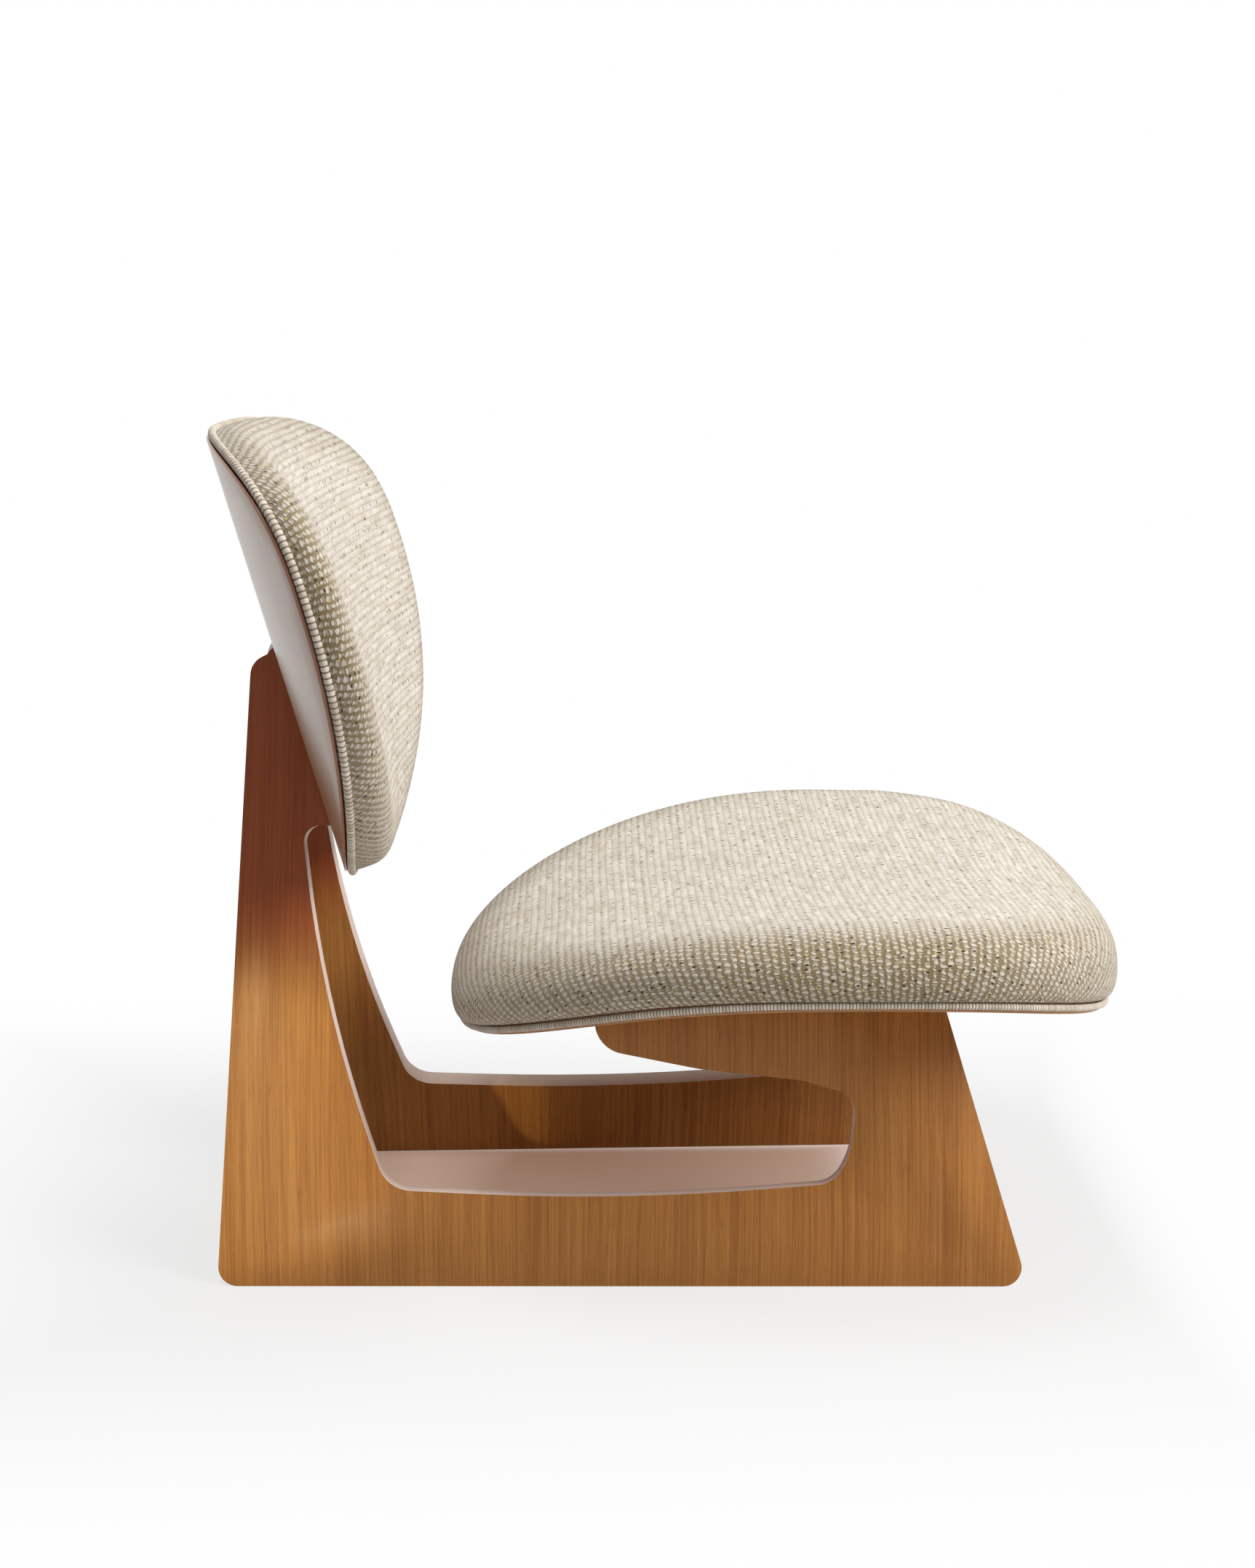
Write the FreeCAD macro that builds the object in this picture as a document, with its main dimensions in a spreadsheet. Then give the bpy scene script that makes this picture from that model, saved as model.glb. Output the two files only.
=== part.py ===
"""Low easy chair: two leaning plywood side frames carry a moulded seat and a moulded back, both upholstered.

Millimetres, +Z up. The origin is on the floor, under the middle of the chair's overall depth.
+X is the way the sitter faces, and +Y is the sitter's left. Nothing on the chair moves.
"""
import FreeCAD, Part
import math
import os

Vector = FreeCAD.Vector
Rotation = FreeCAD.Rotation
Placement = FreeCAD.Placement

# Driving dimensions: one spreadsheet cell each.
SIZES = {
    # Side frames: boards that lean in towards the top and stand wider apart at the front.
    "board_thick": 18.0,
    "splay_deg": 12.07,
    "toe_deg": 1.14,
    "stance_half": 148.96,
    # Seat shell: pressed plywood, dished across the width, its rear half bowed down.
    "seat_mid_along": 92.0,
    "seat_mid_height": 198.2,
    "seat_tilt_deg": 0.76,
    "seat_cross_radius": 712.0,
    "seat_front_radius": 3850.0,
    "seat_rear_radius": 955.0,
    "seat_flat_along": -24.0,
    "seat_widest_along": 61.0,
    "seat_reach_front": 170.5,
    "seat_reach_rear": 309.5,
    "seat_half_width": 238.0,
    "seat_front_fullness": 2.6,
    "seat_rear_fullness": 2.43,
    # Back shell: pressed plywood, curved across the width only.
    "back_mid_along": -273.9,
    "back_mid_height": 400.0,
    "back_lean_deg": 15.9,
    "back_cross_radius": 512.0,
    "back_widest_up": 97.0,
    "back_reach_up": 122.5,
    "back_reach_down": 215.5,
    "back_half_width": 243.0,
    "back_top_fullness": 2.66,
    "back_foot_fullness": 2.15,
    # Both shells: a thin lip runs round a rabbet that takes the welt.
    "shell_thick": 9.0,
    "lip_thick": 2.0,
    # Welt: a cord in a fabric sleeve.
    "welt_width": 5.0,
    "welt_cord": 2.6,
    "welt_overhang": 3.5,
    "welt_to_cover": 0.9,
    # Upholstery layers.
    "cover_thick": 1.6,
    "wadding_thick": 4.0,
    "soft_gap": 0.3,
    "seat_pad_height": 70.6,
    "seat_pad_crown_along": 66.0,
    "seat_pad_side_height": 47.7,
    "seat_pad_length_radius": 1040.0,
    "seat_pad_round": 30.0,
    "seat_pad_tuck": 12.0,
    "seat_pad_overhang": 9.9,
    "back_pad_height": 39.4,
    "back_pad_crown_up": 22.6,
    "back_pad_side_height": 26.2,
    "back_pad_length_radius": 2545.0,
    "back_pad_round": 16.0,
    "back_pad_tuck": 4.0,
    "back_pad_overhang": 0.3,
    "inner_tuck_less": 2.0,
    # Cross rails between the side frames.
    "rail_height": 28.0,
    "rail_width": 45.0,
    "front_rail_along": 68.0,
    "rear_rail_along": -102.0,
    "back_rail_thick": 22.0,
    "back_rail_length": 80.0,
    "back_rail_up": 0.0,
    "curved_gap": 0.3,
    # Blind dowels.
    "dowel_diameter": 8.0,
    "dowel_in_board": 11.0,
    "dowel_in_rail": 20.0,
    "dowel_spacing": 24.0,
    "back_dowel_spacing": 28.0,
    "dowel_chamfer": 0.8,
    "dowel_fit": 0.1,
    "dowel_end_gap": 1.0,
    # Bolts, washers and tee nuts that hold the shells to the rails.
    "bolt_diameter": 6.0,
    "bolt_head_diameter": 10.5,
    "bolt_head_height": 5.0,
    "bolt_socket": 4.0,
    "bolt_fit": 0.5,
    "bolt_thread_fit": 0.15,
    "washer_diameter": 16.0,
    "washer_thick": 1.6,
    "nut_flange_diameter": 19.0,
    "nut_flange_thick": 1.5,
    "nut_barrel_diameter": 8.0,
    "nut_barrel_length": 5.0,
    "nut_fit": 0.1,
    "nut_sink": 1.1,
    "bolt_end_gap": 0.4,
    "front_bolt_half_gap": 45.0,
    "rear_bolt_half_gap": 40.0,
    "back_bolt_half_gap": 15.0,
    "back_bolt_half_rise": 30.0,
}

# Corners of the side frame's outline on its outer face: along, up the board, corner radius.
OUTLINE = {
    "heel": (-333.3, 0.0, 14.0),
    "toe": (259.3, 0.0, 14.0),
    "front_top": (188.0, 240.0, 0.0),
    "arm_top": (-57.5, 240.0, 0.0),
    "arm_tip": (-57.5, 174.0, 24.0),
    "arm_under": (20.0, 158.6, 200.0),
    "arm_root": (94.0, 150.6, 40.0),
    "nose_top": (134.0, 139.0, 17.0),
    "nose_low": (130.5, 98.0, 60.0),
    "slot_front": (117.5, 75.0, 22.0),
    "slot_floor": (-41.0, 62.5, 1700.0),
    "slot_rear": (-209.5, 70.5, 26.0),
    "slant": (-256.0, 202.5, 900.0),
    "notch": (-271.5, 336.8, 12.0),
    "ledge": (-228.0, 336.8, 0.0),
    "crest_front": (-228.0, 497.0, 0.0),
    "crest_rear": (-308.6, 456.0, 15.0),
}

# Reach of the working volumes past what they cut, and how finely curves are drawn.
BLOCK_REACH = 800.0
PRISM_BELOW = 90.0
PRISM_ABOVE = 170.0
SLAB_MARGIN = 40.0
OUTLINE_POINTS = 28
SEAT_STATIONS = 9
BACK_STATIONS = 7

document = FreeCAD.newDocument("low_chair")
sheet = document.addObject("Spreadsheet::Sheet", "Sizes")


def fill_sheet():
    """Write each driving dimension to its own cell, as text, with its name beside it."""
    values = dict(SIZES)
    for corner, (along, up, radius) in OUTLINE.items():
        values[corner + "_along"] = along
        values[corner + "_up"] = up
        values[corner + "_round"] = radius
    for row, (name, value) in enumerate(values.items(), start=1):
        sheet.set(f"A{row}", name)
        sheet.set(f"B{row}", str(value))
        sheet.setAlias(f"B{row}", name)
    document.recompute()


def size(name):
    """Give the value of a cell."""
    return float(getattr(sheet, name))


fill_sheet()


def solid_feature(label, shape, place=None):
    """Add a feature that holds a computed shape."""
    feature = document.addObject("Part::Feature", label)
    feature.Label = label
    feature.Shape = shape
    if place is not None:
        feature.Placement = place
    return feature


def joined(kind, label, base, tool):
    """Add a boolean of two objects."""
    result = document.addObject(kind, label)
    result.Base = base
    result.Tool = tool
    return result


def cut_by(label, base, tools):
    """Cut a list of objects out of a base object, one after another; the last cut takes the label."""
    for number, tool in enumerate(tools[:-1]):
        base = joined("Part::Cut", f"{label}_stage_{number}", base, tool)
    result = joined("Part::Cut", label, base, tools[-1])
    document.recompute()
    return result


# Shell surfaces, in each shell's own frame: u along its length, v across,
# n from the hard side to the soft side.

def egg_outline(middle, ahead, behind, half, fullness_ahead, fullness_behind, inset=0.0):
    """Points of a rounded outline that is widest at the middle, drawn in by the inset."""
    points = []
    for number in range(OUTLINE_POINTS):
        turn = 2 * math.pi * (number + 0.5) / OUTLINE_POINTS
        cross, length = math.cos(turn), math.sin(turn)
        fullness = fullness_ahead if length >= 0 else fullness_behind
        reach = (ahead if length >= 0 else behind) - inset
        scale = (abs(cross) ** fullness + abs(length) ** fullness) ** (-1 / fullness)
        points.append((middle + reach * scale * length, (half - inset) * scale * cross))
    return points


def closed_wire(points, height):
    """Smooth closed wire through the points."""
    curve = Part.BSplineCurve()
    curve.interpolate([Vector(u, v, height) for u, v in points], PeriodicFlag=True)
    return Part.Wire(curve.toShape())


def curved_slab(start, end, stations, half, low, high):
    """Loft a slab between two curved surfaces, each given as a height and a cross radius at u."""
    wires = []
    for number in range(stations):
        u = start + (end - start) * number / (stations - 1)
        rows = []
        for height, radius in (low(u), high(u)):
            rise = half * half / (2 * radius)
            ends = (Vector(u, -half, height + rise), Vector(u, half, height + rise))
            rows.append((ends[0], Vector(u, 0, height), ends[1]))
        below, above = rows
        wires.append(Part.Wire([
            Part.Arc(*below).toShape(),
            Part.makeLine(below[2], above[2]),
            Part.Arc(above[2], above[1], above[0]).toShape(),
            Part.makeLine(above[0], below[0]),
        ]))
    return Part.makeLoft(wires, True, False)


def arcs_through(points):
    """Closed chain of tangent arcs through the points, two to a span."""
    count = len(points)
    tangents = [(points[(number + 1) % count] - points[number - 1]).normalize() for number in range(count)]
    arcs = []
    for number in range(count):
        start, end = points[number], points[(number + 1) % count]
        leave, arrive = tangents[number], tangents[(number + 1) % count]
        span = end - start
        bend = 2 * (1 - leave.dot(arrive))
        run = span.dot(leave + arrive)
        reach = (math.sqrt(run * run + bend * span.dot(span)) - run) / bend
        corners = (start + leave * reach, end - arrive * reach)
        joint = (corners[0] + corners[1]) * 0.5
        for first, corner, last in ((start, corners[0], joint), (joint, corners[1], end)):
            middle = (first + last) * 0.5
            turn = (corner - first).getAngle(last - first)
            bulge = (last - first).Length / 2 * math.tan(turn / 2)
            arcs.append(Part.Arc(first, middle + (corner - middle).normalize() * bulge, last).toShape())
    return arcs


def closed_tube(points, radius, name):
    """Round tube along a closed chain of tangent arcs."""
    arcs = arcs_through(points)
    path = Part.Wire(arcs)
    start = arcs[0].FirstParameter
    section = Part.Wire(Part.makeCircle(radius, arcs[0].valueAt(start), arcs[0].tangentAt(start)))
    tube = path.makePipeShell([section], True, False)
    expected = math.pi * radius * radius * path.Length
    bend = min(arc.Curve.Radius for arc in arcs)
    print(f"{name}: tube radius {radius:.2f}, length {path.Length:.0f}, least bend {bend:.0f}, "
          f"volume {tube.Volume / expected:.4f} of section x length")
    return tube


def rims(block):
    """Edges round a block's two largest faces: first those of the lower, then those of the upper."""
    largest = sorted(block.Faces, key=lambda face: face.Area)[-2:]
    lower, upper = sorted(largest, key=lambda face: face.CenterOfMass.z)
    return lower.OuterWire.Edges, upper.OuterWire.Edges


def inner_face(pad):
    """Face of a pad that lies on the shell: the lower of its two largest."""
    largest = sorted(pad.Faces, key=lambda face: face.Area)[-2:]
    return min(largest, key=lambda face: face.CenterOfMass.z)


def hollowed(outside, inside):
    """Layer between two nested pads that stand on one surface, open on that side."""
    base, hollow = inner_face(outside), inner_face(inside)
    faces = [face for face in outside.Faces if not face.isSame(base)]
    faces += [face.reversed() for face in inside.Faces if not face.isSame(hollow)]
    faces += base.cut(hollow).Faces
    skin = Part.makeShell(faces)
    skin.sewShape()
    layer = Part.makeSolid(skin.Shells[0])
    if layer.Volume < 0:
        layer.reverse()
    return layer


class Cushion:
    """A pressed shell with its welt and its soft layers, in the shell's own frame."""

    def __init__(self, name, place, outline, hard_surface, soft_surface, stations):
        self.name = name
        self.place = place
        self.outline = outline
        self.hard_surface = hard_surface
        self.soft_surface = soft_surface
        self.stations = stations
        self.pad_round = size(name + "_pad_round")
        self.pad_tuck = size(name + "_pad_tuck")
        self.pad_inset = -size(name + "_pad_overhang")
        points = outline(0.0)
        self.start = min(u for u, v in points) - SLAB_MARGIN
        self.end = max(u for u, v in points) + SLAB_MARGIN
        self.half = max(v for u, v in points) + SLAB_MARGIN
        self.cover_foot = size("lip_thick") + size("soft_gap") + size("welt_width") + size("welt_to_cover")
        self.body_inset = self.pad_inset + self.pad_tuck + size("cover_thick") + size("soft_gap")

    def raised(self, surface, rise):
        """The surface, moved along n."""
        def moved(u):
            height, radius = surface(u)
            return height + rise, radius
        return moved

    def slab(self, low, high):
        """Slab between two surfaces over the whole outline."""
        return curved_slab(self.start, self.end, self.stations, self.half, low, high)

    def prism(self, inset):
        """Column through the outline, along n."""
        foot = Part.Face(closed_wire(self.outline(inset), -PRISM_BELOW))
        return foot.extrude(Vector(0, 0, PRISM_BELOW + PRISM_ABOVE))

    def layer(self, low_rise, high_rise, inset):
        """Sheet that follows the hard surface between two rises, inside the outline."""
        hard = self.hard_surface
        return self.slab(self.raised(hard, low_rise), self.raised(hard, high_rise)).common(self.prism(inset))

    def shell(self):
        """Plywood shell: a full sheet, rabbeted round its soft side."""
        thick = size("shell_thick")
        lip = self.layer(0.0, size("lip_thick"), 0.0)
        body = self.layer(0.0, thick, self.body_inset)
        return lip.fuse(body).removeSplitter()

    def welt_tube(self, radius):
        """Tube that lies in the rabbet, round the outline."""
        inset = size("welt_width") / 2 - size("welt_overhang")
        rise = size("lip_thick") + size("soft_gap") + size("welt_width") / 2
        points = []
        for u, v in self.outline(inset):
            height, cross = self.hard_surface(u)
            points.append(Vector(u, v, height + v * v / (2 * cross) + rise))
        return closed_tube(points, radius, f"{self.name} welt")

    def welt_core(self):
        """Cord of the welt."""
        return self.welt_tube(size("welt_cord") / 2)

    def welt(self):
        """Fabric sleeve of the welt, closed round its cord."""
        outside = self.welt_tube(size("welt_width") / 2)
        inside = self.welt_tube(size("welt_cord") / 2 + size("soft_gap") / 2)
        return outside.cut(inside)

    def pad(self, low_rise, inset_more, crown_less, tuck):
        """Soft form: crowned top, rolled shoulder, sides drawn in at the foot."""
        low = self.raised(self.hard_surface, low_rise)
        high = self.raised(self.soft_surface, -crown_less)
        block = self.slab(low, high).common(self.prism(self.pad_inset + inset_more))
        foot, shoulder = rims(block)
        block = block.makeFillet(self.pad_round - crown_less, shoulder)
        foot, shoulder = rims(block)
        return block.makeFillet(tuck, foot)

    def cover(self):
        """Fabric cover, open on the shell's side."""
        cloth = size("cover_thick")
        outside = self.pad(self.cover_foot, 0.0, 0.0, self.pad_tuck)
        return hollowed(outside, self.pad(self.cover_foot, cloth, cloth, self.pad_tuck))

    def wadding(self):
        """Wadding under the cover."""
        low = size("shell_thick") + size("soft_gap")
        gap = size("cover_thick") + size("soft_gap")
        inner = gap + size("wadding_thick")
        tuck = self.pad_tuck - size("inner_tuck_less")
        return hollowed(self.pad(low, gap, gap, tuck), self.pad(low, inner, inner, tuck))

    def foam(self):
        """Foam block that lies on the shell."""
        low = size("shell_thick") + size("soft_gap")
        inner = size("cover_thick") + size("wadding_thick") + 2 * size("soft_gap")
        return self.pad(low, inner, inner, self.pad_tuck - size("inner_tuck_less"))

    def clearing_block(self, gap):
        """Everything on the soft side of the hard surface, kept off by a gap."""
        hard = self.hard_surface
        return self.slab(self.raised(hard, -gap), self.raised(hard, PRISM_ABOVE))


def seat_place():
    """Seat frame: u forward, v to the left, n up."""
    tilt = math.radians(size("seat_tilt_deg"))
    forward = Vector(math.cos(tilt), 0, math.sin(tilt))
    across = Vector(0, 1, 0)
    origin = Vector(size("seat_mid_along"), 0, size("seat_mid_height"))
    return Placement(origin, Rotation(forward, across, forward.cross(across), "XYZ"))


def back_place():
    """Back frame: u up the back, v to the right, n towards the sitter."""
    lean = math.radians(size("back_lean_deg"))
    upward = Vector(-math.sin(lean), 0, math.cos(lean))
    across = Vector(0, -1, 0)
    origin = Vector(size("back_mid_along"), 0, size("back_mid_height"))
    return Placement(origin, Rotation(upward, across, upward.cross(across), "XYZ"))


def seat_hard_surface(u):
    """Underside of the seat shell: its height and cross radius at u."""
    reach = u - size("seat_flat_along")
    bow = size("seat_front_radius") if reach > 0 else size("seat_rear_radius")
    return -reach * reach / (2 * bow), size("seat_cross_radius")


def pad_cross_radius(name):
    """Cross radius of a pad's top, from its height in the middle and its height at the sides."""
    fall = size(name + "_pad_height") - size(name + "_pad_side_height")
    return 1 / (1 / size(name + "_cross_radius") - 2 * fall / size(name + "_half_width") ** 2)


def seat_soft_surface(u):
    """Top of the seat pad at u."""
    reach = u - size("seat_pad_crown_along")
    top = size("shell_thick") + size("seat_pad_height")
    return top - reach * reach / (2 * size("seat_pad_length_radius")), pad_cross_radius("seat")


def back_hard_surface(u):
    """Rear face of the back shell."""
    return 0.0, size("back_cross_radius")


def back_soft_surface(u):
    """Front of the back pad at u."""
    reach = u - size("back_pad_crown_up")
    top = size("shell_thick") + size("back_pad_height")
    return top - reach * reach / (2 * size("back_pad_length_radius")), pad_cross_radius("back")


def seat_outline(inset):
    """Outline of the seat, widest ahead of the middle."""
    return egg_outline(
        size("seat_widest_along"), size("seat_reach_front"), size("seat_reach_rear"), size("seat_half_width"),
        size("seat_front_fullness"), size("seat_rear_fullness"), inset)


def back_outline(inset):
    """Outline of the back, widest above the middle."""
    return egg_outline(
        size("back_widest_up"), size("back_reach_up"), size("back_reach_down"), size("back_half_width"),
        size("back_top_fullness"), size("back_foot_fullness"), inset)


seat = Cushion("seat", seat_place(), seat_outline, seat_hard_surface, seat_soft_surface, SEAT_STATIONS)
back = Cushion("back", back_place(), back_outline, back_hard_surface, back_soft_surface, BACK_STATIONS)


# Side frames.

def frame_place(side):
    """Place of a board: side is +1 for the sitter's left and -1 for the right."""
    lean = Rotation(Vector(1, 0, 0), side * size("splay_deg"))
    toe = Rotation(Vector(0, 0, 1), side * size("toe_deg"))
    return Placement(Vector(0, side * size("stance_half"), 0), toe.multiply(lean))


def rounded_edges():
    """Lines and arcs of the side frame's outline, each corner rounded by its own radius."""
    names = list(OUTLINE)
    corners = [Vector(size(name + "_along"), size(name + "_up"), 0) for name in names]
    radii = [size(name + "_round") for name in names]
    count = len(names)
    starts, ends, arcs = [], [], []
    for number, corner in enumerate(corners):
        back_way = (corners[number - 1] - corner).normalize()
        on_way = (corners[(number + 1) % count] - corner).normalize()
        half_angle = back_way.getAngle(on_way) / 2
        run = radii[number] / math.tan(half_angle)
        first, last = corner + back_way * run, corner + on_way * run
        inward = radii[number] / math.sin(half_angle) - radii[number]
        middle = corner + (back_way + on_way).normalize() * inward
        starts.append(first)
        ends.append(last)
        arcs.append(Part.Arc(first, middle, last) if radii[number] > 0 else None)
    edges = []
    for number in range(count):
        if arcs[number] is not None:
            edges.append(arcs[number])
        edges.append(Part.LineSegment(ends[number], starts[(number + 1) % count]))
    return edges


def board_body(label, side):
    """One board as a body: the outline padded by the board's thickness, outer face on the sketch."""
    body = document.addObject("PartDesign::Body", label + "_board")
    sketch = body.newObject("Sketcher::SketchObject", label + "_outline")
    plane = next(item for item in body.Origin.OriginFeatures if item.Role == "XZ_Plane")
    sketch.AttachmentSupport = (plane, "")
    sketch.MapMode = "FlatFace"
    for edge in rounded_edges():
        sketch.addGeometry(edge, False)
    document.recompute()
    pad = body.newObject("PartDesign::Pad", label + "_pad")
    pad.Profile = sketch
    pad.setExpression("Length", "Sizes.board_thick")
    pad.Reversed = side < 0
    body.Tip = pad
    body.Placement = frame_place(side)
    document.recompute()
    return body


def floor_block():
    """Everything below the floor."""
    corner = Vector(-BLOCK_REACH, -BLOCK_REACH, -BLOCK_REACH)
    return Part.makeBox(2 * BLOCK_REACH, 2 * BLOCK_REACH, BLOCK_REACH, corner)


def beyond_board(side):
    """Everything from a board's inner face outwards."""
    depth = BLOCK_REACH + size("board_thick")
    corner = Vector(-BLOCK_REACH, -size("board_thick") if side > 0 else -BLOCK_REACH, -BLOCK_REACH)
    block = Part.makeBox(2 * BLOCK_REACH, depth, 2 * BLOCK_REACH, corner)
    block.Placement = frame_place(side)
    return block


# Cross rails. Each is given in the frame of the shell that it carries: its middle u and its size.

RAILS = {
    "seat_front_rail": (seat, "front_rail_along"),
    "seat_rear_rail": (seat, "rear_rail_along"),
    "back_rail": (back, "back_rail_up"),
}


def rail_section(name):
    """Middle u, length along u and thickness along n of a rail."""
    cushion, place_name = RAILS[name]
    if cushion is back:
        return size(place_name), size("back_rail_length"), size("back_rail_thick")
    return size(place_name), size("rail_width"), size("rail_height")


def rail_top(name):
    """Height n of the hard surface over a rail, at the rail's lowest place."""
    cushion = RAILS[name][0]
    middle, length, thick = rail_section(name)
    return min(cushion.hard_surface(middle - length / 2)[0], cushion.hard_surface(middle + length / 2)[0])


def dowel_places(name):
    """Places of a rail's dowels: on the board's inner face, z along the dowel and outwards."""
    cushion = RAILS[name][0]
    middle, length, thick = rail_section(name)
    depth = rail_top(name) - size("curved_gap") - thick / 2
    spread = size("dowel_spacing" if cushion is seat else "back_dowel_spacing") / 2
    places = []
    for side in (-1, 1):
        board = frame_place(side)
        outward = board.Rotation.multVec(Vector(0, side, 0))
        inner = board.multVec(Vector(0, -side * size("board_thick"), 0))
        for step in (-spread, spread):
            start = cushion.place.multVec(Vector(middle + step, 0, depth))
            across = Vector(0, 1, 0)
            reach = (inner - start).dot(outward) / across.dot(outward)
            places.append(Placement(start + across * reach, Rotation(Vector(0, 0, 1), outward)))
    return places


def dowel_pins(name):
    """All dowels of a rail."""
    radius = size("dowel_diameter") / 2
    length = size("dowel_in_rail") + size("dowel_in_board")
    pin = Part.makeCylinder(radius, length, Vector(0, 0, -size("dowel_in_rail")))
    rims = [edge for edge in pin.Edges if edge.Curve.TypeId == "Part::GeomCircle"]
    pin = pin.makeChamfer(size("dowel_chamfer"), rims)
    return placed_copies(pin, dowel_places(name))


def dowel_holes(name):
    """Blind holes of a rail's dowels, in the rail and in the boards."""
    radius = size("dowel_diameter") / 2 + size("dowel_fit")
    inside = size("dowel_in_rail") + size("dowel_end_gap")
    length = inside + size("dowel_in_board") + size("dowel_end_gap")
    return placed_copies(Part.makeCylinder(radius, length, Vector(0, 0, -inside)), dowel_places(name))


def placed_copies(shape, places):
    """Copies of a shape at the given places."""
    copies = []
    for place in places:
        copy = shape.copy()
        copy.Placement = place.multiply(shape.Placement)
        copies.append(copy)
    return Part.makeCompound(copies)


# Bolts: each rail has its own set, given as places (u, v) in the shell's frame about the rail's middle.

BOLTS = {
    "seat_front_rail": [(0.0, side * size("front_bolt_half_gap")) for side in (-1, 1)],
    "seat_rear_rail": [(0.0, side * size("rear_bolt_half_gap")) for side in (-1, 1)],
    "back_rail": [(rise * size("back_bolt_half_rise"), side * size("back_bolt_half_gap"))
                  for rise in (-1, 1) for side in (-1, 1)],
}


def rail_foot(name):
    """Height n of a rail's free face, where the washers lie."""
    middle, length, thick = rail_section(name)
    return rail_top(name) - size("curved_gap") - thick


def bolt_places(name):
    """Foot of each bolt of a rail, on the rail's free face, z towards the shell."""
    cushion = RAILS[name][0]
    middle, foot, turn = rail_section(name)[0], rail_foot(name), cushion.place.Rotation
    return [Placement(cushion.place.multVec(Vector(middle + u, v, foot)), turn) for u, v in BOLTS[name]]


def nut_rise(name):
    """Height of the tee nuts' seat over the rail's free face."""
    cushion = RAILS[name][0]
    u, v = BOLTS[name][0]
    height, radius = cushion.hard_surface(rail_section(name)[0] + u)
    surface = height + v * v / (2 * radius) + size("shell_thick")
    return surface - size("nut_sink") - size("nut_flange_thick") - rail_foot(name)


def primitive(kind, label, bindings, height=0.0):
    """Add a primitive whose sizes are bound to the sheet."""
    item = document.addObject(kind, label)
    for name, expression in bindings.items():
        item.setExpression(name, expression)
    item.Placement = Placement(Vector(0, 0, height), Rotation())
    return item


def bolt_pattern(label, length):
    """One socket-head bolt that stands on the origin with its washer and head below."""
    washer = size("washer_thick")
    head_foot = -washer - size("bolt_head_height")
    shank = primitive("Part::Cylinder", label + "_shank", {"Radius": "Sizes.bolt_diameter / 2"}, -washer)
    shank.Height = length + washer
    head = primitive(
        "Part::Cylinder", label + "_head",
        {"Radius": "Sizes.bolt_head_diameter / 2", "Height": "Sizes.bolt_head_height"}, head_foot)
    socket = primitive(
        "Part::Prism", label + "_socket",
        {"Circumradius": "Sizes.bolt_socket / sqrt(3)", "Height": "Sizes.bolt_head_height * 0.6"}, head_foot)
    whole = joined("Part::Fuse", label + "_blank", head, shank)
    return cut_by(label, whole, [socket])


def washer_pattern(label):
    """One washer under the origin."""
    low = -size("washer_thick")
    disc = primitive(
        "Part::Cylinder", label + "_disc",
        {"Radius": "Sizes.washer_diameter / 2", "Height": "Sizes.washer_thick"}, low)
    hole = primitive(
        "Part::Cylinder", label + "_hole",
        {"Radius": "(Sizes.bolt_diameter + Sizes.bolt_fit) / 2", "Height": "Sizes.washer_thick"}, low)
    return cut_by(label, disc, [hole])


def nut_pattern(label, rise):
    """One tee nut: its flange on the seat at the given rise, its barrel below."""
    foot = rise - size("nut_barrel_length")
    flange = primitive(
        "Part::Cylinder", label + "_flange",
        {"Radius": "Sizes.nut_flange_diameter / 2", "Height": "Sizes.nut_flange_thick"}, rise)
    barrel = primitive(
        "Part::Cylinder", label + "_barrel",
        {"Radius": "Sizes.nut_barrel_diameter / 2", "Height": "Sizes.nut_barrel_length"}, foot)
    bore = primitive(
        "Part::Cylinder", label + "_bore",
        {"Radius": "Sizes.bolt_diameter / 2 + Sizes.bolt_thread_fit",
         "Height": "Sizes.nut_barrel_length + Sizes.nut_flange_thick"}, foot)
    whole = joined("Part::Fuse", label + "_blank", flange, barrel)
    return cut_by(label, whole, [bore])


def bolt_holes(name):
    """Clearance holes for a rail's bolts, through the rail."""
    radius = size("bolt_diameter") / 2 + size("bolt_fit") / 2
    hole = Part.makeCylinder(radius, 2 * size("rail_width"), Vector(0, 0, -1))
    return placed_copies(hole, bolt_places(name))


def nut_holes(name):
    """Stepped holes for a rail's tee nuts, through the shell."""
    rise = nut_rise(name)
    barrel = size("nut_barrel_diameter") / 2 + size("nut_fit")
    flange = size("nut_flange_diameter") / 2 + size("nut_fit")
    narrow = Part.makeCylinder(barrel, rise, Vector(0, 0, 0))
    wide = Part.makeCylinder(flange, size("shell_thick"), Vector(0, 0, rise))
    return placed_copies(narrow.fuse(wide), bolt_places(name))


# Shells, welts and soft layers.

def place_in(cushion, shape):
    """Move a shape from a shell's frame to its place."""
    moved = shape.copy()
    moved.Placement = cushion.place.multiply(shape.Placement)
    return moved


SOFT_PIECES = {
    "foam": Cushion.foam,
    "wadding": Cushion.wadding,
    "cover": Cushion.cover,
    "welt": Cushion.welt,
    "welt_cord": Cushion.welt_core,
}

nodes = {}
for cushion, rail_names in ((seat, ("seat_front_rail", "seat_rear_rail")), (back, ("back_rail",))):
    blank = solid_feature(cushion.name + "_shell_blank", place_in(cushion, cushion.shell()))
    hole_sets = [nut_holes(name) for name in rail_names]
    holes = solid_feature(cushion.name + "_shell_holes", Part.makeCompound(hole_sets))
    nodes[cushion.name + "_shell"] = cut_by(cushion.name + "_shell", blank, [holes])
    for piece, maker in SOFT_PIECES.items():
        label = f"{cushion.name}_{piece}"
        nodes[label] = solid_feature(label, place_in(cushion, maker(cushion)))

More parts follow.
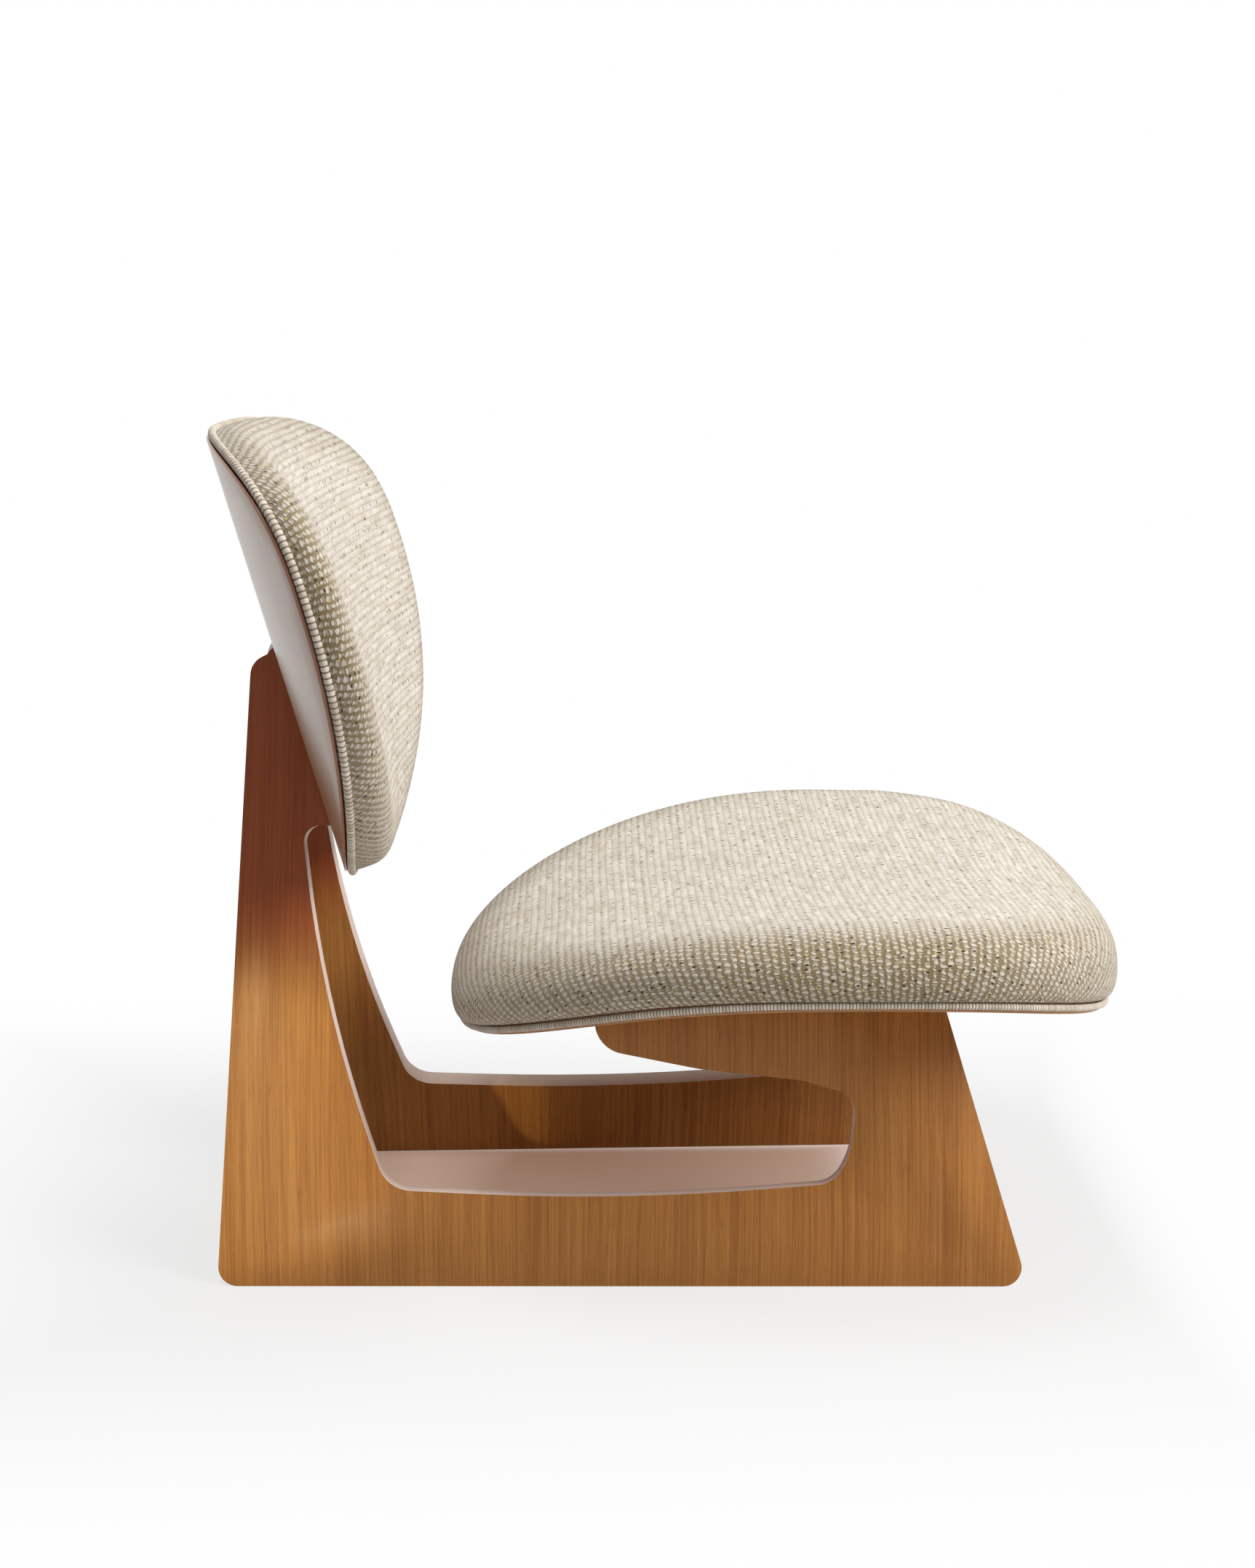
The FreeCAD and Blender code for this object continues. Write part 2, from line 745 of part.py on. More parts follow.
# Rails, cut to the shells above them and to the boards beside them, with holes for dowels and bolts.
clearings = {}
for cushion in (seat, back):
    cleared = place_in(cushion, cushion.clearing_block(size("curved_gap")))
    clearings[cushion.name] = solid_feature(cushion.name + "_clearing", cleared)
beyond = {}
for side, label in ((-1, "right"), (1, "left")):
    beyond[side] = solid_feature("beyond_" + label, beyond_board(side))
for name in RAILS:
    cushion = RAILS[name][0]
    middle, length, thick = rail_section(name)
    corner = Vector(middle - length / 2, -cushion.half, rail_foot(name))
    block = Part.makeBox(length, 2 * cushion.half, 2 * thick, corner)
    blank = solid_feature(name + "_blank", place_in(cushion, block))
    pin_holes = solid_feature(name + "_dowel_holes", dowel_holes(name))
    bolt_clearance = solid_feature(name + "_bolt_holes", bolt_holes(name))
    tools = [clearings[cushion.name], beyond[-1], beyond[1], pin_holes, bolt_clearance]
    nodes[name] = cut_by(name, blank, tools)
    label = name.replace("rail", "dowels")
    nodes[label] = solid_feature(label, dowel_pins(name))

# Side frames.
floor = solid_feature("below_floor", floor_block())
board_holes = solid_feature("board_dowel_holes", Part.makeCompound([dowel_holes(name) for name in RAILS]))
for side, label in ((-1, "side_frame_right"), (1, "side_frame_left")):
    board = board_body(label, side)
    tools = [floor, clearings["seat"], clearings["back"], board_holes]
    nodes[label] = cut_by(label, board, tools)

# Fasteners, grouped by the shell that they hold.
fasteners = {}
for name in RAILS:
    rise = nut_rise(name)
    length = rise + size("nut_flange_thick") - size("bolt_end_gap")
    patterns = {
        "bolts": bolt_pattern(name + "_bolt", length),
        "washers": washer_pattern(name + "_washer"),
        "tee_nuts": nut_pattern(name + "_nut", rise),
    }
    for kind, pattern in patterns.items():
        group = fasteners.setdefault(f"{RAILS[name][0].name}_{kind}", [])
        group.extend(placed_copies(pattern.Shape, bolt_places(name)).Solids)
for label, solids in fasteners.items():
    nodes[label] = solid_feature(label, Part.makeCompound(solids))

# Checks, then the exchange files.
document.recompute()
for item in document.Objects:
    if "Invalid" in item.State or "Error" in item.State:
        raise ValueError(f"{item.Label}: {item.State}")
for label, item in nodes.items():
    shape = item.Shape
    if shape.isNull() or not shape.isValid() or not shape.Solids:
        raise ValueError(f"{label}: the shape is empty or not valid")

os.makedirs("parts", exist_ok=True)
for label, item in nodes.items():
    item.Shape.exportStep(f"parts/{label}.step")
    box = item.Shape.BoundBox
    print(f"{label}: {len(item.Shape.Solids)} solid(s), {item.Shape.Volume / 1000:.1f} cm3, "
          f"X {box.XMin:.1f}..{box.XMax:.1f} Y {box.YMin:.1f}..{box.YMax:.1f} "
          f"Z {box.ZMin:.1f}..{box.ZMax:.1f}")
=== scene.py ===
"""Low easy chair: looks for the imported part.

Metres, in the part's own frame: +X is the way the sitter faces, +Y the sitter's left, +Z up.
Sizes in millimetres carry the ending _mm, or stand in a class whose docstring says so.
"""

import logging
import math
from dataclasses import dataclass, field
from enum import Enum
from typing import Callable, Iterable, Sequence, Union

import bmesh
import bpy
from mathutils import Matrix, Vector


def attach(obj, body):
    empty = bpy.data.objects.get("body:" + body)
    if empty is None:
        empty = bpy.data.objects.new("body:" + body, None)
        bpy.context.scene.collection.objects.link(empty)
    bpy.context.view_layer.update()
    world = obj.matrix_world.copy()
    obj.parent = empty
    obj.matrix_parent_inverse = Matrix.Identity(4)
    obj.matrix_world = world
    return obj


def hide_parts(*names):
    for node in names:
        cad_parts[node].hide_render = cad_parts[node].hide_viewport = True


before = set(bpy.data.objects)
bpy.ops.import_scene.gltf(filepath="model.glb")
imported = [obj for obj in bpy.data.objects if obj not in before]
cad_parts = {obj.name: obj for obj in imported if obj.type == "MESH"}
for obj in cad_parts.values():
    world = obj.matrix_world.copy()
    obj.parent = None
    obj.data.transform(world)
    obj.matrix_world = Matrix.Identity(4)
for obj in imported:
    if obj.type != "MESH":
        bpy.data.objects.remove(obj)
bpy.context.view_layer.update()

log = logging.getLogger("low_chair")
MM = 0.001
TO_MM = 1000
ROOT = "root"

Socket = bpy.types.NodeSocket
Input = Union[Socket, float, int, Sequence[float]]
Pair = tuple[float, float]
Triple = tuple[float, float, float]
Colour = tuple[float, float, float, float]
Ramp = tuple[float, ...]

WHITE = (1.0, 1.0, 1.0, 1.0)
MERGE_MM = 0.02
FLAT_DEG = 0.4
BEVEL_DEG = 40
BEVEL_SEGMENTS = 2
SHADE_DEG = 35


class Side(Enum):
    """Which side frame, by the sign of its Y."""

    RIGHT = -1
    LEFT = 1

    @property
    def word(self) -> str:
        """Name used in node names."""
        return self.name.lower()


class Slot(Enum):
    """Material slot names of the record."""

    VENEERED_PLY = "veneered_ply"
    SHELL_PLY = "shell_ply"
    COVER = "cover_fabric"
    WELT = "welt_fabric"


class Axis(Enum):
    """Axis of a placement, by its number."""

    ALONG = 0
    ACROSS = 1
    OUT = 2


def linear(red: int, green: int, blue: int) -> Colour:
    """Turn a display colour of 0 to 255 a channel into the linear colour that shaders use.

    Args:
        red: Red as displayed.
        green: Green as displayed.
        blue: Blue as displayed.

    Returns:
        The linear colour with full alpha.
    """
    toe_end, toe_slope, shift, power = 0.04045, 12.92, 0.055, 2.4
    channels = []
    for value in (red, green, blue):
        share = value / 255
        channels.append(share / toe_slope if share <= toe_end else ((share + shift) / (1 + shift)) ** power)
    return (channels[0], channels[1], channels[2], 1.0)


class Graph:
    """A node tree under construction, with short calls for its nodes and links."""

    def __init__(self, tree: bpy.types.NodeTree) -> None:
        """Start on an empty tree."""
        self.tree = tree
        tree.nodes.clear()

    def node(self, kind: str, inputs: dict[Union[str, int], Input] | None = None,
             **settings: object) -> bpy.types.Node:
        """Add a node.

        Args:
            kind: The node's type name.
            inputs: Values or sockets for its inputs, by name or number.
            **settings: Properties of the node.

        Returns:
            The new node.
        """
        made = self.tree.nodes.new(kind)
        for name, value in settings.items():
            setattr(made, name, value)
        for key, value in (inputs or {}).items():
            self.feed(made.inputs[key], value)
        return made

    def feed(self, target: Socket, value: Input) -> None:
        """Link a socket to an input, or set the input's value."""
        if isinstance(value, Socket):
            self.tree.links.new(value, target)
        else:
            target.default_value = value

    def math(self, operation: str, *values: Input) -> Socket:
        """Add a Math node and give its output."""
        return self.node("ShaderNodeMath", dict(enumerate(values)), operation=operation).outputs[0]

    def add(self, first: Input, second: Input) -> Socket:
        """Sum of two values."""
        return self.math("ADD", first, second)

    def less(self, first: Input, second: Input) -> Socket:
        """First value less the second."""
        return self.math("SUBTRACT", first, second)

    def times(self, first: Input, second: Input) -> Socket:
        """Product of two values."""
        return self.math("MULTIPLY", first, second)

    def larger(self, first: Input, second: Input) -> Socket:
        """Larger of two values."""
        return self.math("MAXIMUM", first, second)

    def unsigned(self, value: Input) -> Socket:
        """Value without its sign."""
        return self.math("ABSOLUTE", value)

    def line(self, value: Input, start: float, slope: float) -> Socket:
        """Start plus a slope times the value."""
        return self.add(start, self.times(value, slope))

    def vector(self, operation: str, *values: Input) -> Socket:
        """Add a Vector Math node and give its vector output."""
        return self.node("ShaderNodeVectorMath", dict(enumerate(values)), operation=operation).outputs[0]

    def drawn(self, place: Input, factors: Sequence[float]) -> Socket:
        """Coordinates multiplied axis by axis."""
        return self.vector("MULTIPLY", place, tuple(factors))

    def joined(self, *values: Input) -> Socket:
        """Vector of up to three values."""
        return self.node("ShaderNodeCombineXYZ", dict(enumerate(values))).outputs[0]

    def split(self, place: Input) -> Sequence[Socket]:
        """Three values of a vector."""
        return self.node("ShaderNodeSeparateXYZ", {0: place}).outputs

    def first_channel(self, colour: Socket) -> Socket:
        """First channel of a colour."""
        return self.node("ShaderNodeSeparateColor", {0: colour}).outputs[0]

    def place(self) -> Socket:
        """Object coordinates."""
        return self.node("ShaderNodeTexCoord").outputs["Object"]

    def ramp(self, value: Input, low: Input, high: Input, start: float = 0.0, end: float = 1.0) -> Socket:
        """Smooth step of a value from one range to another."""
        made = self.node(
            "ShaderNodeMapRange",
            {"Value": value, "From Min": low, "From Max": high, "To Min": start, "To Max": end},
            interpolation_type="SMOOTHSTEP",
        )
        return made.outputs["Result"]

    def mix(self, share: Input, first: Input, second: Input, blend: str = "MIX") -> Socket:
        """Mix two colours.

        Args:
            share: Share of the second colour.
            first: First colour.
            second: Second colour.
            blend: The blend mode.

        Returns:
            The mixed colour.
        """
        made = self.node("ShaderNodeMix", data_type="RGBA", blend_type=blend)
        for number, value in ((0, share), (6, first), (7, second)):
            self.feed(made.inputs[number], value)
        return made.outputs[2]

    def noise(self, place: Input, scale: float, detail: float = 2.0, rough: float = 0.5) -> Socket:
        """Noise value at a place."""
        inputs = {"Vector": place, "Scale": scale, "Detail": detail, "Roughness": rough}
        return self.node("ShaderNodeTexNoise", inputs).outputs[0]

    def colours(self, value: Input, stops: Iterable[tuple[float, Colour]]) -> Socket:
        """Colour ramp through the stops."""
        made = self.node("ShaderNodeValToRGB", {"Fac": value})
        elements = made.color_ramp.elements
        listed = list(stops)
        while len(elements) < len(listed):
            elements.new(0.5)
        for element, (position, colour) in zip(elements, listed):
            element.position = position
            element.color = colour
        return made.outputs["Color"]

    def bump(self, height: Input, relief_mm: float, strength: Input) -> Socket:
        """Bumped normal for a height in the unit range."""
        made = self.node("ShaderNodeBump", {"Height": height, "Distance": relief_mm * MM, "Strength": strength})
        return made.outputs["Normal"]

    def seen_directly(self) -> Socket:
        """One for what the camera, a mirroring or a clear surface sees, else nothing."""
        path = self.node("ShaderNodeLightPath").outputs
        seen = self.larger(path["Is Camera Ray"], path["Is Glossy Ray"])
        return self.larger(seen, path["Is Transmission Ray"])

    def surface(self, shader: Socket) -> None:
        """Send a shader to the material's output."""
        self.node("ShaderNodeOutputMaterial", {"Surface": shader})


def new_material(name: str) -> tuple[bpy.types.Material, Graph]:
    """Make an empty node material.

    Args:
        name: Name of the material.

    Returns:
        The material and its graph.
    """
    material = bpy.data.materials.new(name)
    material.use_nodes = True
    return material, Graph(material.node_tree)


@dataclass(frozen=True)
class Finish:
    """A finish: a material with one Principled shader, whose inputs each kind of finish gives."""

    name: str

    def inputs(self, graph: Graph) -> dict[str, Input]:
        """Add the finish's nodes and give the shader's inputs."""
        raise NotImplementedError

    def material(self) -> bpy.types.Material:
        """Build the material."""
        material, graph = new_material(self.name)
        graph.surface(graph.node("ShaderNodeBsdfPrincipled", self.inputs(graph)).outputs[0])
        return material


@dataclass(frozen=True)
class Placement:
    """A right-handed local frame inside the part's frame."""

    origin: Vector
    along: Vector
    across: Vector
    out: Vector

    def point(self, along: float, across: float, out: float) -> Vector:
        """Place of local coordinates."""
        return self.origin + self.along * along + self.across * across + self.out * out

    @property
    def euler(self) -> Triple:
        """Turn of the frame as angles about X, Y and Z."""
        angles = Matrix((self.along, self.across, self.out)).transposed().to_euler("XYZ")
        return (angles.x, angles.y, angles.z)

    def coordinates(self, graph: Graph) -> Socket:
        """Add nodes that give a point's coordinates in this frame."""
        mapping = graph.node(
            "ShaderNodeMapping",
            {"Vector": graph.place(), "Location": tuple(self.origin), "Rotation": self.euler},
            vector_type="TEXTURE",
        )
        return mapping.outputs["Vector"]

    def facing(self, graph: Graph) -> Socket:
        """Add nodes that give how squarely a surface faces along the frame's outward axis, either way."""
        normal = graph.node("ShaderNodeNewGeometry").outputs["True Normal"]
        product = graph.node("ShaderNodeVectorMath", {0: normal, 1: tuple(self.out)}, operation="DOT_PRODUCT")
        return graph.unsigned(product.outputs["Value"])


@dataclass(frozen=True)
class Grain:
    """Straight-grained wood: soft bands, fine streaks and short dark pores along the grain.

    Between two places along the grain, in metres, the wood takes on painted shade: its colour is multiplied
    by the painted shade colour. The boards use it for the painted shadow of the back pad on their uprights.
    """

    dark: Colour
    middle: Colour
    light: Colour
    pore: Colour
    # Painted shade: the colour that multiplies the wood's, and where along the grain it starts and ends.
    ripe: Colour = WHITE
    ripe_from: float = 0.0
    ripe_to: float = 1.0
    tones: Triple = (0.36, 0.5, 0.62)
    band_mm: float = 19.0
    streak_mm: float = 2.1
    streak_rough: float = 0.62
    pore_mm: float = 0.7
    stretch: float = 0.014
    pore_stretch: float = 2.6 * 0.014
    sway_scale: float = 3.2
    sway_mm: float = 12.0
    band_share: float = 0.3
    pore_share: float = 0.5
    pore_limits: Pair = (0.60, 0.72)
    streak_relief: float = 0.35
    pore_relief: float = 0.65

    def colour(self, graph: Graph, place: Socket, grain_axis: Axis) -> tuple[Socket, Socket]:
        """Add the grain's nodes.

        Args:
            graph: Graph of the material.
            place: Coordinates in the piece's frame.
            grain_axis: The axis that the grain follows.

        Returns:
            The colour and the height of the grain.
        """
        axis = grain_axis.value
        squeeze = [1.0, 1.0, 1.0]
        squeeze[axis] = self.stretch
        sway = graph.less(graph.noise(place, self.sway_scale, 1.0), 0.5)
        bent = graph.joined(graph.times(sway, self.sway_mm * MM))
        drawn = graph.vector("ADD", graph.drawn(place, squeeze), bent)
        band = graph.noise(drawn, TO_MM / self.band_mm)
        streak = graph.noise(drawn, TO_MM / self.streak_mm, 4.0, self.streak_rough)
        tone = graph.add(graph.times(band, self.band_share), graph.times(streak, 1 - self.band_share))
        colour = graph.colours(tone, zip(self.tones, (self.dark, self.middle, self.light)))
        squeeze[axis] = self.pore_stretch
        fine = graph.noise(graph.drawn(place, squeeze), TO_MM / self.pore_mm, 1.0)
        pores = graph.ramp(fine, *self.pore_limits)
        colour = graph.mix(graph.times(pores, self.pore_share), colour, self.pore)
        # Painted shade: between the two places along the grain the colour darkens towards the multiplied colour.
        painted_shade_share = graph.ramp(graph.split(place)[axis], self.ripe_from, self.ripe_to)
        colour = graph.mix(painted_shade_share, colour, self.ripe, "MULTIPLY")
        return colour, graph.less(graph.times(streak, self.streak_relief), graph.times(pores, self.pore_relief))


@dataclass(frozen=True)
class CutEdge:
    """Cut edge of plywood: pale layers, each a little lighter or darker than the next."""

    pale: Colour
    dark: Colour
    ply_mm: float = 1.5
    line_blur: float = 0.5
    line_share: float = 0.35
    fibre_share: float = 0.4
    fibre_noise: Triple = (320.0, 3.0, 0.6)

    def colour(self, graph: Graph, place: Socket) -> Socket:
        """Add the edge's nodes.

        Args:
            graph: Graph of the material.
            place: Coordinates in the board's frame, whose outward axis goes through the layers.

        Returns:
            The colour of the edge.
        """
        layer = graph.times(graph.split(place)[Axis.OUT.value], TO_MM * math.pi / self.ply_mm)
        lines = graph.ramp(graph.math("SINE", layer), -self.line_blur, self.line_blur)
        fibre = graph.noise(place, *self.fibre_noise)
        share = graph.add(graph.times(lines, self.line_share), graph.times(fibre, self.fibre_share))
        return graph.mix(share, self.pale, self.dark)


@dataclass(frozen=True)
class Veneer(Finish):
    """Satin veneer on plywood, with its cut edges where a surface doesn't face outwards."""

    place: Placement
    grain: Grain
    edge: CutEdge
    grain_axis: Axis
    roughness: float = 0.42
    coat: float = 0.05
    coat_roughness: float = 0.3
    specular: float = 0.28
    edge_limits: Pair = (0.62, 0.74)
    relief_mm: float = 0.08
    relief_strength: float = 0.5

    def inputs(self, graph: Graph) -> dict[str, Input]:
        """Add the finish's nodes and give the shader's inputs."""
        place = self.place.coordinates(graph)
        face = graph.ramp(self.place.facing(graph), *self.edge_limits)
        colour, height = self.grain.colour(graph, place, self.grain_axis)
        return {
            "Base Color": graph.mix(face, self.edge.colour(graph, place), colour),
            "Roughness": self.roughness,
            "Specular IOR Level": self.specular,
            "Coat Weight": self.coat,
            "Coat Roughness": self.coat_roughness,
            "Normal": graph.bump(height, self.relief_mm, self.relief_strength),
        }


@dataclass(frozen=True)
class Drift:
    """Random shift over the cloth: waves to a metre, and reach in metres."""

    scale: float
    reach: Triple

    def shift(self, graph: Graph, place: Socket) -> Socket:
        """Add nodes that give the shift at a place."""
        waves = graph.node("ShaderNodeTexNoise", {"Vector": place, "Scale": self.scale, "Detail": 1.0})
        return graph.drawn(graph.vector("SUBTRACT", waves.outputs["Color"], (0.5, 0.5, 0.5)), self.reach)


@dataclass(frozen=True)
class Fleck:
    """Short flecks of one colour: how their cells are drawn, cells to a metre, share of cells without one."""

    colour: Colour
    drawn: Triple
    scale: float
    empty: float
    rim: Ramp = (0.12, 0.22, 1.0, 0.0)

    def over(self, graph: Graph, place: Socket, colour: Socket) -> Socket:
        """Scatter the flecks over a colour.

        Args:
            graph: Graph of the material.
            place: Coordinates on the cloth.
            colour: Colour of the cloth.

        Returns:
            The flecked colour.
        """
        inputs = {"Vector": graph.drawn(place, self.drawn), "Scale": self.scale}
        cells = graph.node("ShaderNodeTexVoronoi", inputs, voronoi_dimensions="2D").outputs
        picked = graph.math("GREATER_THAN", graph.first_channel(cells["Color"]), self.empty)
        inside = graph.ramp(cells["Distance"], *self.rim)
        return graph.mix(graph.times(inside, picked), colour, self.colour)


@dataclass(frozen=True)
class YarnFloat:
    """The float of yarn over a point of the cloth: the point's place in it, its tone and its height."""

    across: Socket
    away: Socket
    tone: Socket
    rise: Socket


@dataclass(frozen=True)
class Weave(Finish):
    """Coarse cloth: light floats of weft in rows over darker warp columns, with slubs and flecks.

    It reads the UV map, whose unit is a metre on the cloth, and the attribute that says how far the
    cloth is stretched open. A pair that ends in _opened holds a value on closed cloth and what is
    added to it on open cloth. A noise holds waves to a metre and detail. A ramp holds the limits of
    a value, and what it becomes there where that isn't 0 and 1.
    """

    column_mm: float = 5.5
    row_mm: float = 2.2
    yarn_light: Colour = linear(250, 244, 234)
    yarn_dark: Colour = linear(216, 204, 187)
    groove_closed: Colour = linear(158, 142, 118)
    groove_open: Colour = linear(140, 123, 90)
    flecks: tuple[Fleck, ...] = (
        Fleck(linear(66, 52, 42), (1.0, 2.1, 0.0), 120.0, 0.82),
        Fleck(linear(214, 186, 124), (1.9, 1.0, 0.0), 131.0, 0.91),
    )
    sway: Drift = Drift(6.0, (0.003, 0.006, 0.0))
    uneven: tuple[Drift, Drift] = (Drift(64.0, (0.0036, 0.0026, 0.0)), Drift(290.0, (0.0052, 0.0024, 0.0)))
    uneven_opened: Pair = (0.4, 0.6)
    slant: float = 0.5
    float_across: float = 0.49
    float_along: float = 0.78
    float_power: float = 2.1
    float_size: Ramp = (0.0, 1.0, 0.66, 1.04)
    seen_from_opened: Pair = (0.03, 0.40)
    seen_to_opened: Pair = (0.45, 0.47)
    tone_share: float = 0.5
    slub_noise: Pair = (160.0, 2.0)
    slub_drawn: Triple = (1.0, 0.22, 0.0)
    slub_ramp: Ramp = (0.35, 0.65, 0.0, 0.5)
    fibre_noise: Pair = (1500.0, 2.0)
    fibre_ramp: Ramp = (0.4, 0.7, 0.0, 0.16)
    fibre_relief: float = 0.15
    worn_share: float = 0.20
    seam_ramp: Ramp = (0.26, 0.5)
    seam_share: float = 0.40
    broken_noise: Pair = (380.0, 2.0)
    broken_ramp: Ramp = (0.35, 0.62, 0.4, 1.0)
    under_share: float = 0.12
    crossing: Pair = (1.5, 1.8)
    crossing_ramp: Ramp = (0.2, 0.8, 0.0, 0.5)
    cloud_noise: Pair = (14.0, 3.0)
    cloud_ramp: Ramp = (0.3, 0.75, 0.0, 0.10)
    relief_mm: float = 0.9
    relief_opened: Pair = (0.40, 0.35)

    def inputs(self, graph: Graph) -> dict[str, Input]:
        """Add the finish's nodes and give the shader's inputs."""
        flat = graph.node("ShaderNodeUVMap", uv_map=Pad.UV_NAME).outputs[0]
        stretch = graph.node("ShaderNodeAttribute", attribute_name=Pad.STRETCH_NAME).outputs["Fac"]
        cloth = self.cloth(graph, flat, stretch)
        fibre = graph.noise(cloth, *self.fibre_noise)
        over = self.over(graph, cloth)
        yarn = self.yarn(graph, flat, stretch, fibre, over.tone)
        colour = graph.mix(self.open_share(graph, flat, stretch, over), yarn, self.groove(graph, stretch, over))
        for fleck in self.flecks:
            colour = fleck.over(graph, flat, colour)
        cloud = graph.ramp(graph.noise(flat, *self.cloud_noise), *self.cloud_ramp)
        height = graph.add(over.rise, graph.times(fibre, self.fibre_relief))
        return {
            "Base Color": graph.mix(cloud, colour, self.groove_closed),
            "Roughness": 0.92,
            "Specular IOR Level": 0.12,
            "Sheen Weight": 0.1,
            "Sheen Roughness": 0.6,
            "Normal": graph.bump(height, self.relief_mm, graph.line(stretch, *self.relief_opened)),
        }

    def cloth(self, graph: Graph, flat: Socket, stretch: Socket) -> Socket:
        """Give the cloth's coordinates with its threads out of line, more so where it is stretched."""
        swayed = graph.vector("ADD", flat, self.sway.shift(graph, flat))
        uneven = graph.vector("ADD", *(drift.shift(graph, flat) for drift in self.uneven))
        loose = graph.line(stretch, *self.uneven_opened)
        moved = graph.node("ShaderNodeVectorMath", {0: uneven, "Scale": loose}, operation="SCALE").outputs[0]
        return graph.vector("ADD", swayed, moved)

    def over(self, graph: Graph, cloth: Socket) -> YarnFloat:
        """Find the float over each point: floats span two rows, and the next column's lie a row further on."""
        column, row, _ = graph.split(graph.drawn(cloth, (TO_MM / self.column_mm, TO_MM / self.row_mm, 0.0)))
        column_id, row_id = graph.math("FLOOR", column), graph.math("FLOOR", row)
        across = graph.less(graph.less(column, column_id), 0.5)
        offset = graph.add(graph.less(graph.less(row, row_id), 0.5), graph.times(across, self.slant))
        parity = graph.math("FLOORED_MODULO", graph.add(column_id, row_id), 2.0)
        near = graph.unsigned(offset)
        away = graph.add(near, graph.times(graph.less(graph.less(1.0, near), near), parity))
        float_row = graph.add(row_id, graph.times(graph.math("SIGN", offset), parity))
        seed = graph.joined(column_id, float_row)
        chance = graph.node("ShaderNodeTexWhiteNoise", {"Vector": seed}, noise_dimensions="3D").outputs
        size = graph.ramp(graph.first_channel(chance["Color"]), *self.float_size)
        rise = self.height(graph, graph.math("DIVIDE", across, size), graph.math("DIVIDE", away, size))
        return YarnFloat(across, away, chance["Value"], rise)

    def height(self, graph: Graph, across: Socket, away: Socket) -> Socket:
        """Give the height of a float: a half ellipsoid over its cell."""
        first = graph.math("POWER", graph.unsigned(graph.math("DIVIDE", across, self.float_across)), self.float_power)
        second = graph.math("POWER", graph.math("DIVIDE", away, self.float_along), 2.0)
        return graph.math("SQRT", graph.larger(graph.less(1.0, graph.add(first, second)), 0.0))

    def yarn(self, graph: Graph, flat: Socket, stretch: Socket, fibre: Socket, tone: Socket) -> Socket:
        """Give the yarn's colour, with slubs, fibres and a darker cast on open cloth.

        Args:
            graph: Graph of the material.
            flat: Coordinates on the cloth.
            stretch: How far the cloth is stretched open.
            fibre: Noise of the fibres.
            tone: Chance of the float, from 0 to 1.

        Returns:
            The colour.
        """
        slub = graph.noise(graph.drawn(flat, self.slub_drawn), *self.slub_noise)
        share = graph.add(graph.times(tone, self.tone_share), graph.ramp(slub, *self.slub_ramp))
        yarn = graph.mix(share, self.yarn_light, self.yarn_dark)
        yarn = graph.mix(graph.ramp(fibre, *self.fibre_ramp), yarn, self.groove_closed)
        # Where the cloth is stretched open, on the pads' shoulders and side walls, the yarn is drawn darker.
        return graph.mix(graph.times(stretch, self.worn_share), yarn, self.groove_open)

    def groove(self, graph: Graph, stretch: Socket, over: YarnFloat) -> Socket:
        """Give the colour between the floats, where a crossing yarn shows."""
        groove = graph.mix(stretch, self.groove_closed, self.groove_open)
        across = graph.times(over.across, self.crossing[0])
        away = graph.times(graph.less(1.0, over.away), self.crossing[1])
        crossing = graph.ramp(self.height(graph, across, away), *self.crossing_ramp)
        return graph.mix(crossing, groove, self.yarn_dark)

    def open_share(self, graph: Graph, flat: Socket, stretch: Socket, over: YarnFloat) -> Socket:
        """Give the groove's share of the colour.

        Args:
            graph: Graph of the material.
            flat: Coordinates on the cloth.
            stretch: How far the cloth is stretched open.
            over: The float over each point.

        Returns:
            Broken seams between the columns on closed cloth, all that the floats leave bare on open cloth.
        """
        low, high = graph.line(stretch, *self.seen_from_opened), graph.line(stretch, *self.seen_to_opened)
        under = graph.less(1.0, graph.ramp(over.rise, low, high))
        seam = graph.ramp(graph.unsigned(over.across), *self.seam_ramp)
        broken = graph.ramp(graph.noise(flat, *self.broken_noise), *self.broken_ramp)
        closed = graph.add(graph.times(graph.times(seam, broken), self.seam_share),
                           graph.times(under, self.under_share))
        return graph.add(closed, graph.times(graph.less(under, closed), stretch))


@dataclass(frozen=True)
class WeltYarn(Finish):
    """Cloth wound tight round a cord: one light yarn ridge for each turn that the welt's attribute counts."""

    light: Colour = linear(240, 231, 217)
    dark: Colour = linear(206, 193, 174)
    gap: Colour = linear(132, 115, 92)
    gap_ramp: Ramp = (0.27, 0.47)
    fibre_noise: Pair = (1600.0, 3.0)
    fibre_ramp: Ramp = (0.35, 0.7, 0.0, 0.45)
    relief_mm: float = 0.2
    relief_strength: float = 0.6

    def inputs(self, graph: Graph) -> dict[str, Input]:
        """Add the finish's nodes and give the shader's inputs."""
        turn = graph.node("ShaderNodeAttribute", attribute_name=Welt.TURN_NAME).outputs["Fac"]
        seed = {"W": graph.math("FLOOR", turn)}
        chance = graph.node("ShaderNodeTexWhiteNoise", seed, noise_dimensions="1D").outputs["Value"]
        fibre = graph.noise(graph.place(), *self.fibre_noise)
        yarn = graph.mix(chance, self.light, self.dark)
        yarn = graph.mix(graph.ramp(fibre, *self.fibre_ramp), yarn, self.dark)
        middle = graph.unsigned(graph.less(graph.math("FRACT", turn), 0.5))
        return {
            "Base Color": graph.mix(graph.ramp(middle, *self.gap_ramp), yarn, self.gap),
            "Roughness": 0.92,
            "Specular IOR Level": 0.15,
            "Sheen Weight": 0.1,
            "Normal": graph.bump(fibre, self.relief_mm, self.relief_strength),
        }


